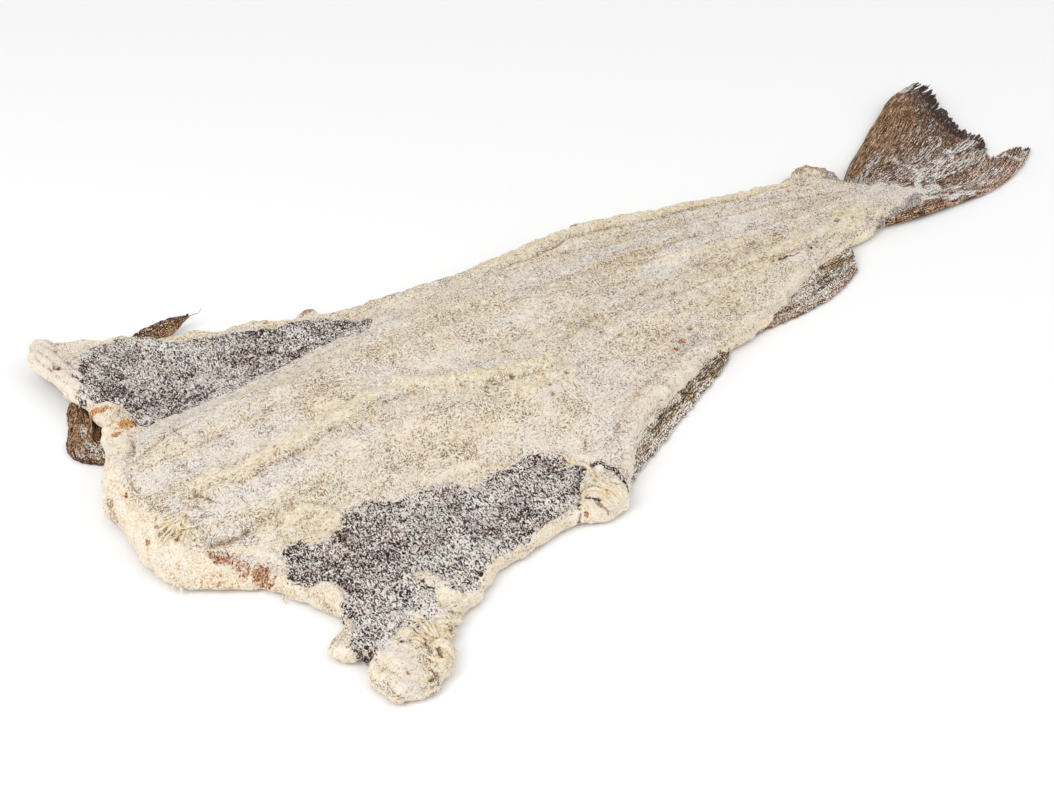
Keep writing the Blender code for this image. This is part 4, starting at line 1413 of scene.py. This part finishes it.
def make_body(material):
    """The split body with its flaps, as one fine mesh, and the surface that others lie on."""
    base = slab_mesh("base", flesh_outline(), PLAN_SPACING, rings=(1.5, 4.0, 8.0), heights=flesh_heights)
    fine = thin_flat_underside(remeshed(base, VOXEL, SMOOTHING), UNDERSIDE_SHARE)
    places, normals = mesh_arrays(fine)
    x, facing_up = places[:, 0], normals[:, 2]
    canvas = worked_flesh(places[:, :2])
    relief, detail = flesh_relief(places, canvas)
    relief = relief + canvas.height * smooth_step(facing_up + 0.2)
    under = smooth_step((-facing_up - 0.3) / 0.5)
    rim = smooth_step((0.6 - facing_up) / 0.4) * smooth_step((505.0 - x) / 8.0)
    canvas.strengthen("pale", 0.95 * rim)
    for name, values in canvas.looks.items():
        set_attribute(fine, name, values * smooth_step(1.6 * facing_up + 1.0))
    # Painted shade: this darkens the flesh's colour in the hollows of the relief and where the darkening look
    # is strong, and lightens it on the ridges.
    painted_relief_shade = canvas.looks["painted_shade"] - (detail + 0.6 * canvas.height) / 0.9
    set_attribute(fine, "painted_relief_shade", np.clip(painted_relief_shade, -1.0, 1.5))
    places = places + normals * (relief * (1.0 - under))[:, None]
    places[:, 2] = np.maximum(places[:, 2], LOWEST_FLESH)
    set_vector(fine, "stream", stream_coordinates(places))
    surface = Surface(places, fine)
    settle(fine, places)
    fine.update()
    piece("cod_flesh", fine, material)
    return surface


def make_skin():
    """The skin that the fish lies on."""
    outline = inset(smooth_curve(FLESH_OUTLINE, 3.0), SKIN_INSET)
    mesh = slab_mesh("cod_skin", outline, spacing=7.0, rings=(2.0, 5.0), heights=skin_heights)
    places, _ = mesh_arrays(mesh)
    settle(mesh, places)
    mesh.set_sharp_from_angle(angle=math.radians(50.0))
    piece("cod_skin", mesh, skin_material())


def filled_heights(plan, heights):
    """The heights, with each missing one taken from the nearest place that has one."""
    known = np.flatnonzero(np.isfinite(heights))
    for i in np.flatnonzero(np.isnan(heights)):
        nearest = np.argmin(np.sum((plan[known] - plan[i]) ** 2, axis=1))
        heights[i] = heights[known[nearest]]
    return heights


def make_lining(name, landmarks, surface, material, seed):
    """One sheet of belly lining that lies on a flap, with a torn edge."""
    outline = roughened(smooth_curve(landmarks, 0.9), seed, sizes=((1.5, 7.0), (1.2, 3.0), (0.6, 1.5)))
    noise = Noise(seed)

    def heights(plan, edge):
        flat = on_floor(plan)
        top = filled_heights(plan, surface.heights(plan, math.nan))
        rough = 0.4 * noise(flat, 1.9) + 0.3 * noise(flat + 9.0, 4.0)
        return np.maximum(top - 1.4, 0.2), top + (0.34 + rough) * smooth_step(edge / 2.0)

    mesh = slab_mesh(name, outline, spacing=1.5, rings=(0.8,), heights=heights, rim_wall=0.6)
    places, _ = mesh_arrays(mesh)
    flat = on_floor(places[:, :2])
    set_attribute(mesh, "haze", noise.layers(flat + 70.0, 26.0, 2))
    edge = distance_to_path(places[:, :2], smooth_curve(landmarks, 3.0), closed=True)
    set_attribute(mesh, "feather", smooth_step(1.0 - edge / 7.0) * noise(flat + 40.0, 9.0))
    settle(mesh, places)
    piece(name, mesh, material)


# ------------------------------------------------------------------ salt

def chips(name, plan, heights, sizes, material, seed):
    """Salt crystals: small stretched octahedra that lie every way on a surface."""
    random = np.random.default_rng(seed)
    count = len(plan)
    turn = random.uniform(0.0, math.tau, count)
    tilt = random.normal(0.0, 0.45, count)
    along = np.column_stack((np.cos(turn) * np.cos(tilt), np.sin(turn) * np.cos(tilt), np.sin(tilt)))
    across = np.column_stack((-np.sin(turn), np.cos(turn), np.zeros(count)))
    up = np.cross(along, across)
    length, width, depth = (
        (sizes * random.uniform(least, most, count))[:, None] * direction
        for least, most, direction in ((0.7, 1.6, along), (0.35, 0.7, across), (0.3, 0.6, up))
    )
    middle = np.column_stack((plan, heights + 0.25 * sizes))
    corners = np.stack((middle + length, middle + width, middle - length, middle - width,
                        middle + depth, middle - depth), axis=1)
    shape = np.array([(0, 1, 4), (1, 2, 4), (2, 3, 4), (3, 0, 4), (1, 0, 5), (2, 1, 5), (3, 2, 5), (0, 3, 5)])
    faces = (np.arange(count)[:, None, None] * 6 + shape[None, :, :]).reshape(-1, 3)
    piece(name, mesh_of(name, place(corners.reshape(-1, 3)), faces.tolist()), material)


def scattered(random, outline, tries, border):
    """Random plan points inside an outline and clear of its edge by the border."""
    plan = random.uniform(outline.min(axis=0), outline.max(axis=0), (tries, 2))
    return plan[signed_distance(plan, outline, reach=3.0) > border]


def in_patches(random, noise, plan, size, weight, least):
    """The plan points that are left when they are thinned in patches of this size."""
    return plan[weight * noise(on_floor(plan), size) + random.uniform(-1.0, 1.0, len(plan)) > least]


def make_salt(surface, material):
    """Salt over the flesh, and more of it over the two linings."""
    random = np.random.default_rng(seed=77)
    noise = Noise(seed=78)
    near, far = (smooth_curve(landmarks, 3.0) for landmarks in (NEAR_LINING, FAR_LINING))
    plan = scattered(random, smooth_curve(FLESH_OUTLINE, 5.0), tries=60000, border=0.5)
    on_near, on_far = (signed_distance(plan, lining, reach=3.0) > -1.0 for lining in (near, far))
    plan = plan[~(on_near | on_far)]
    plan = in_patches(random, noise, plan, size=9.0, weight=1.0, least=0.1)[:FLESH_SALT]
    sizes = FLESH_SALT_SIZE * random.lognormal(0.0, 0.3, len(plan))
    chips("salt_on_flesh", plan, surface.heights(plan), sizes, material, seed=79)
    for name, lining, count in (("salt_on_near_lining", near, NEAR_LINING_SALT),
                                ("salt_on_far_lining", far, FAR_LINING_SALT)):
        plan = scattered(random, lining, tries=count * 3, border=0.3)[:count]
        plan = in_patches(random, noise, plan, size=11.0, weight=1.2, least=0.0)
        sizes = LINING_SALT_SIZE * random.lognormal(0.0, 0.3, len(plan))
        chips(name, plan, surface.heights(plan) + 0.5, sizes, material, seed=80)


# ------------------------------------------------------------------ fins

def set_looks(mesh, canvas, flow, used=slice(None)):
    """Stores a fin's looks and the run of its rays; used picks the canvas's points for the mesh."""
    for look, values in canvas.looks.items():
        set_attribute(mesh, look, values[used])
    set_vector(mesh, "flow", flow.reshape(-1, 3)[used])


def fin_piece(name, top, thickness, canvas, flow, material, keep=None):
    """A fin made of a grid of points, with the looks of its canvas and the run of its rays."""
    mesh, used = sheet_mesh(name, place(top), thickness * MM, keep)
    set_looks(mesh, canvas, flow, used % len(canvas.plan))
    mesh.shade_smooth()
    mesh.set_sharp_from_angle(angle=math.radians(60.0))
    piece(name, mesh, material)


def ray_run(along, across):
    """Where points lie along and across a fin's rays, as vectors."""
    return np.stack((along, across, np.zeros_like(along)), axis=-1)


def slit(u, v, middle, depth, width):
    """The cells of a slit between two rays that widens towards the rear edge."""
    opening = width * smooth_step((u - (1.0 - depth)) / depth)
    return ((np.abs(v - middle) < opening) & (u > 1.0 - depth))[:-1, :-1]


def tattered(random, columns):
    """How far the end of each column of the tail stands out, in tatters of several widths."""
    teeth = np.zeros(columns)
    for tooth, amount in TATTERS:
        heights = random.normal(0.0, amount, columns // tooth + 2)
        number, along = np.divmod(np.arange(columns) + random.integers(0, tooth), tooth)
        teeth += heights[number] - 0.5 * amount * along / tooth
    return teeth


def make_tail(material):
    """The tail fin: two lobes of rays with a frayed, dark rear edge, the far lobe lifted."""
    rows, columns = TAIL_GRID
    lower, upper, rear = (smooth_curve(edge, 2.0, closed=False)
                          for edge in (TAIL_LOWER_EDGE, TAIL_UPPER_EDGE, TAIL_REAR_EDGE))
    plan = grid_between(lower, upper, TAIL_ROOT, rear, rows, columns)
    u, v = grid_shares(rows, columns)
    random = np.random.default_rng(seed=31)
    reach = 2.0 + tattered(random, columns) * (1.0 + 1.2 * smooth_step((v[0] - 0.8) / 0.2))
    rays = unit(plan[-1] - plan[-20])
    near_rear = smooth_step((u - 0.8) / 0.2) ** 2
    plan = plan + reach[None, :, None] * rays[None, :, :] * near_rear[..., None]
    x, y = plan[..., 0], plan[..., 1]
    noise = Noise(seed=32)
    flat = on_floor(plan.reshape(-1, 2))
    wave = noise(flat, (40.0, 26.0, 1.0)).reshape(rows, columns)
    crumple = noise(flat, 5.0).reshape(rows, columns)
    lift = 0.4 + TAIL_LIFT * smooth_step((x - TAIL_FRONT) / 120.0) * smooth_step((y + 25.0) / 110.0)
    rise = 4.2 * (1.0 - smooth_step((x - TAIL_FRONT) / 55.0))
    thinning = smooth_step(np.minimum(v, 1.0 - v) * 16.0 + 0.2)
    ridges = 0.5 + 0.5 * np.cos(math.tau * TAIL_RAYS * v + 1.2 * wave)
    forks = 0.5 + 0.5 * np.cos(2.0 * math.tau * TAIL_RAYS * v + 1.2 * wave)
    forked = smooth_step((u - 0.35) / 0.3)
    relief = 0.55 * (ridges * (1.0 - forked) + forks * forked) * (1.0 - 0.3 * u)
    height = lift + LOWEST_TAIL + (rise + 0.4) * thinning + relief + 1.4 * wave * u + 0.35 * crumple
    top = np.stack((x, y, np.maximum(height, LOWEST_TAIL)), axis=-1)
    keep = np.ones((rows - 1, columns - 1), dtype=bool)
    for _ in range(FINE_SLITS):
        middle, depth = random.uniform(0.02, 0.98), random.uniform(0.02, 0.1)
        keep &= ~slit(u, v, middle, depth, width=0.004)
    for middle, depth in DEEP_SLITS:
        keep &= ~slit(u, v, middle, depth, width=0.012)
    canvas = Canvas(plan.reshape(-1, 2), FIN_LOOKS, seed=33)
    canvas.paint(TAIL_STROKES)
    flow = ray_run(u * TAIL_RUN[0], v * TAIL_RUN[1])
    fin_piece("tail_fin", top, TAIL_THICKNESS, canvas, flow, material, keep)


def make_anal_fin(name, outer, inner, high, strokes, seed, material):
    """An anal fin folded down beside the body, from its inner edge in the flesh to the floor."""
    rows, columns = ANAL_FIN_GRID
    plan = grid_between(outer, inner, (outer[0], inner[0]), (outer[-1], inner[-1]), rows, columns)
    random = np.random.default_rng(seed)
    noise = Noise(seed)
    u, v = grid_shares(rows, columns)
    outward = unit(plan[:, :1] - plan[:, -1:])
    ragged = np.repeat(random.normal(0.0, 0.45, rows // 4 + 1), 4)[:rows]
    plan = plan + outward * (ragged[:, None] * (1.0 - smooth_step(v * 4.0)))[..., None]
    length = np.linalg.norm(np.diff(plan[:, 0], axis=0), axis=1).sum()
    width = np.linalg.norm(plan[:, 0] - plan[:, -1], axis=1).mean()
    ridges = 0.3 * ripple(u * length / 2.6 + v * width * 1.4, 2.4)
    folds = 0.9 * noise(on_floor(plan.reshape(-1, 2)), (34.0, 5.0, 1.0)).reshape(rows, columns)
    height = ANAL_FIN_EDGE + (high - ANAL_FIN_EDGE) * v ** 0.8
    height += (ridges + folds) * np.sin(math.pi * np.clip(v, 0.1, 0.9))
    top = np.stack((plan[..., 0], plan[..., 1], np.maximum(height, 1.0)), axis=-1)
    canvas = Canvas(plan.reshape(-1, 2), FIN_LOOKS, seed)
    canvas.paint(strokes)
    flow = ray_run(u * length, v * width * 1.3 + u * 6.0)
    fin_piece(name, top, FIN_THICKNESS, canvas, flow, material)


def paint_pectoral(canvas, distance, along, patchy):
    """The folded pectoral's looks, by how far in from its edge and how far along it they are."""
    wander = distance + 0.7 * canvas.ragged
    lower = smooth_step((along - 44.0) / 12.0)
    canvas.looks["umber"] = 1.3 * smooth_step((8.0 - wander) / 1.5) * (1.0 - 0.7 * lower)
    plates = band(wander, 6.5, 1.5, 15.5, 2.0)
    canvas.looks["crust"] = np.maximum((0.7 + 0.9 * patchy) * plates + 0.6 * lower * plates,
                                       1.1 * lower * smooth_step((wander - 1.5) / 1.5))
    lines = ripple(wander - 9.2 + 0.8 * patchy, 3.3) * (wander > 4.0)
    torn = smooth_step((lines - 0.2) / 0.5)
    cavity = band(wander, 8.5, 1.5, 17.0, 1.5)
    canvas.looks["rust"] = 1.3 * cavity * band(along, 14.0, 8.0, 66.0, 8.0) * torn
    contours = smooth_step((ripple(distance - 1.6 + 0.3 * patchy, 2.4) - 0.35) / 0.4)
    # The dark on the innermost part and on the cavity near the far end is painted shadow under the collar;
    # the dark edge and lines are the fin's own.
    for values in (
        0.9 * smooth_step((wander - 17.0) / 1.5),
        1.1 * torn * lower,
        0.8 * smooth_step((1.2 - distance) / 0.8),
        0.75 * contours * lower * (distance < 7.0),
        0.8 * cavity * smooth_step((30.0 - along) / 10.0),
    ):
        canvas.strengthen("dark", values)


def make_folded_pectoral(material):
    """The base of the pectoral fin, folded on the floor under the collar in nested ridges."""
    outer = smooth_curve(PECTORAL_OUTER, 1.0, closed=False)
    outline = np.vstack((outer, smooth_curve(PECTORAL_INNER, 3.0, closed=False)))
    outline = roughened(outline, seed=41, sizes=((0.5, 2.2),))
    noise = Noise(seed=42)

    def heights(plan, _):
        distance, along = path_coordinates(plan, outer)
        flat = on_floor(plan)
        distance = distance + 0.8 * noise(flat, 7.0)
        ribs = 0.22 * ripple(distance + 0.3 * along, 1.7) * (distance < 7.5)
        layers = 0.35 * ripple(distance, 1.5) * (distance > 5.0)
        top = profile(distance, PECTORAL_PROFILE) + ribs + layers
        return np.full(len(plan), 0.3), np.maximum(top + 0.4 * noise(flat, 2.4), 1.4)

    mesh = slab_mesh("pectoral_fold", outline, spacing=0.8, rings=(0.5,), heights=heights)
    places, _ = mesh_arrays(mesh)
    plan = places[:, :2]
    distance, along = path_coordinates(plan, outer)
    canvas = Canvas(plan, FIN_LOOKS, seed=43)
    paint_pectoral(canvas, distance, along, noise(on_floor(plan) + 30.0, (4.0, 6.0, 1.0)))
    flow = ray_run(along, distance + 0.3 * along * (distance < 7.0))
    set_looks(mesh, canvas, flow)
    settle(mesh, places)
    piece("pectoral_fold", mesh, material)


def make_pectoral_tip(material):
    """The tip of the pectoral fin past the far edge: a ribbed leaf that ends in a thread."""
    rows, columns = LEAF_GRID
    top = grid_between(LEAF_LOWER, LEAF_UPPER, (LEAF_LOWER[0], LEAF_UPPER[0]),
                       (LEAF_LOWER[-1], LEAF_UPPER[-1]), rows, columns)
    u, v = grid_shares(rows, columns)
    rough = Noise(seed=51)(top.reshape(-1, 3), 2.2).reshape(rows, columns)
    top[..., 2] += 0.5 * np.cos(math.tau * LEAF_RIBS * v) * (1.0 - u) + 0.5 * rough * (1.0 - u)
    top[..., 1] += 0.8 * rough * (np.abs(v - 0.5) > 0.42)
    canvas = Canvas(top.reshape(-1, 3)[:, :2], FIN_LOOKS, seed=52)
    canvas.looks["dark"] = (0.5 + 0.3 * rough).ravel()
    canvas.looks["umber"] = (0.9 * smooth_step((0.75 - v) / 0.4)).ravel()
    canvas.looks["frost"] = (0.9 * smooth_step((0.35 - u) / 0.3)).ravel()
    flow = ray_run(u * LEAF_RUN[0], v * LEAF_RUN[1])
    fin_piece("pectoral_tip", top, FIN_THICKNESS, canvas, flow, material)
    thread = strips_mesh("pectoral_thread", [(smooth_curve(LEAF_THREAD, 0.8, False), 0.55, 0.55)])
    set_attribute(thread, "rosy", np.ones(len(thread.vertices)))
    thread.shade_smooth()
    piece("pectoral_thread", thread, material)


# ------------------------------------------------------------------ shreds

def strips_mesh(name, strips):
    """Tapered six-sided strips joined in one mesh; a strip is its path, width and thickness."""
    sides = 6
    points, faces = [], []
    turn = np.arange(sides) * 2.0 * math.pi / sides
    for path, width, thickness in strips:
        path = np.asarray(path, dtype=float)
        count = len(path)
        ahead = unit(np.gradient(path, axis=0))
        across = unit(np.cross(ahead, (0.0, 0.0, 1.0)))
        up = np.cross(across, ahead)
        taper = profile(np.linspace(0.0, 1.0, count), TAPER)
        ring = (path[:, None, :]
                + across[:, None, :] * (np.cos(turn) * 0.5 * width)[None, :, None] * taper[:, None, None]
                + up[:, None, :] * (np.sin(turn) * 0.5 * thickness)[None, :, None] * taper[:, None, None])
        base = len(points)
        points.extend(ring.reshape(-1, 3).tolist())
        for start in range(base, base + (count - 1) * sides, sides):
            for j in range(sides):
                k = (j + 1) % sides
                faces.append((start + j, start + k, start + sides + k, start + sides + j))
        faces.append(tuple(base + j for j in reversed(range(sides))))
        faces.append(tuple(base + (count - 1) * sides + j for j in range(sides)))
    return mesh_of(name, place(points), faces)


def curling_path(random, surface, start, heading, fan, length, width, rise):
    """A shred's path: it curls as it goes, lies on the flesh and droops where there is none."""
    x, y = start
    z = surface.height(x, y)
    z = random.uniform(2.0, 5.0) if z is None else z
    angle = math.radians(heading + fan * random.uniform(-1.0, 1.0))
    bend = random.normal(0.0, 0.16)
    reach = length * random.uniform(0.5, 1.3)
    lift = rise * random.uniform(0.3, 1.2)
    steps = max(5, int(reach / 0.9))
    path = []
    for i in range(steps + 1):
        t = i / steps
        ground = surface.height(x, y)
        level = z - 0.3 * width + 1.2 * lift * math.sin(math.pi * 0.8 * t)
        if ground is None:
            level = max(0.5, level - 0.5 * reach * t * t)
        else:
            level = max(level - 0.4, ground + 0.05 * width)
        path.append((x, y, level))
        x += reach / steps * math.cos(angle)
        y += reach / steps * math.sin(angle)
        angle += bend + random.normal(0.0, 0.08)
    path = np.array(path)
    path[:, 2] = averaged(path[:, 2])
    return path


def make_shreds(surface, material):
    """Loose fibres and torn shreds of flesh along the cuts and edges."""
    random = np.random.default_rng(seed=61)
    strips = []
    for start, end, heading, fan, count, length, width, rise in SHREDS:
        for _ in range(count):
            share = random.uniform(0.0, 1.0)
            root = (1.0 - share) * np.array(start) + share * np.array(end) + random.normal(0.0, 0.8, 2)
            path = curling_path(random, surface, root, heading, fan, length, width, rise)
            strip_width = width * random.uniform(0.6, 1.4)
            strips.append((path, strip_width, 0.6 * strip_width))
    combed = tuple((np.outer((0.5, 0.3, 0.0), COMB_START) + np.outer((0.5, 0.7, 1.0), end), 2.1, 0.35)
                   for end in COMB_ENDS)
    for landmarks, width, rise in FOLDS + combed:
        plan = smooth_curve(landmarks, 0.9, closed=False)
        ground = averaged(surface.heights(plan, 3.0))
        strips.append((np.column_stack((plan, ground + rise - 0.2)), width, 0.8 * width))
    mesh = strips_mesh("cod_shreds", strips)
    mesh.shade_smooth()
    piece("cod_shreds", mesh, material)


def make_vent_skin(surface, material):
    """The rope of dark skin that runs over the edge beside the vent."""
    plan = roughened(smooth_curve(VENT_SKIN, 0.9, closed=False), seed=71, sizes=((0.5, 3.0),))
    path = np.column_stack((plan, surface.heights(plan, 3.0) + 0.2))
    mesh = strips_mesh("vent_skin", [(path, 3.2, 2.0)])
    for name in ("haze", "feather"):
        set_attribute(mesh, name, np.full(len(mesh.vertices), -0.4))
    mesh.shade_smooth()
    piece("vent_skin", mesh, material)


# ------------------------------------------------------------------ studio

def make_camera():
    """The camera, above the near side at the nape's end."""
    azimuth, elevation = math.radians(CAMERA_AZIMUTH), math.radians(CAMERA_ELEVATION)
    away = np.array([
        math.sin(azimuth) * math.cos(elevation),
        -math.cos(azimuth) * math.cos(elevation),
        math.sin(elevation),
    ])
    lens = bpy.data.cameras.new("camera")
    lens.sensor_width = 36.0
    lens.lens = 0.5 * lens.sensor_width / math.tan(math.radians(CAMERA_HALF_ANGLE))
    camera = linked("camera", lens)
    camera.location = Vector(place(CAMERA_TARGET) + away * CAMERA_DISTANCE * MM)
    camera.rotation_euler = (math.pi / 2 - elevation, 0.0, azimuth)
    bpy.context.scene.camera = camera


def make_floor():
    """A plain pale floor."""
    corners = np.array([(-1, -1, 0), (1, -1, 0), (1, 1, 0), (-1, 1, 0)]) * FLOOR_REACH
    floor = linked("floor", mesh_of("floor", corners, [(0, 1, 2, 3)]))
    floor.location = (0.0, 0.0, -FLOOR_DROP)
    pale = bpy.data.materials.new("pale_floor")
    pale.use_nodes = True
    shader = pale.node_tree.nodes["Principled BSDF"]
    shader.inputs["Base Color"].default_value = FLOOR_WHITE
    shader.inputs["Roughness"].default_value = 0.9
    floor.data.materials.append(pale)


def make_light():
    """Soft light all round, with a lamp before the nape and a weaker one on the near side."""
    world = bpy.data.worlds.new("studio")
    world.use_nodes = True
    background = world.node_tree.nodes["Background"]
    background.inputs["Color"].default_value = (1.0, 1.0, 1.0, 1.0)
    background.inputs["Strength"].default_value = SKY_STRENGTH
    bpy.context.scene.world = world
    bpy.context.scene.view_settings.view_transform = "Standard"
    for name, location, size, watts in LAMPS:
        light = bpy.data.lights.new(name, "AREA")
        light.shape = "SQUARE"
        light.size = size
        light.energy = watts
        lamp = linked(name, light)
        lamp.location = location
        lamp.rotation_euler = (-Vector(location)).to_track_quat("-Z", "Y").to_euler()


make_camera()
make_floor()
make_light()
surface = make_body(flesh_material())
make_shreds(surface, shred_material())
make_skin()
fins = fin_material()
make_tail(fins)
for name, outer, inner, high, strokes, seed in ANAL_FINS:
    make_anal_fin(name, outer, inner, high, strokes, seed, fins)
make_folded_pectoral(fins)
make_pectoral_tip(fins)
lining = lining_material()
make_vent_skin(surface, lining)
make_lining("lining_near", NEAR_LINING, surface, lining, seed=21)
make_lining("lining_far", FAR_LINING, surface, lining, seed=22)
make_salt(surface, salt_material())
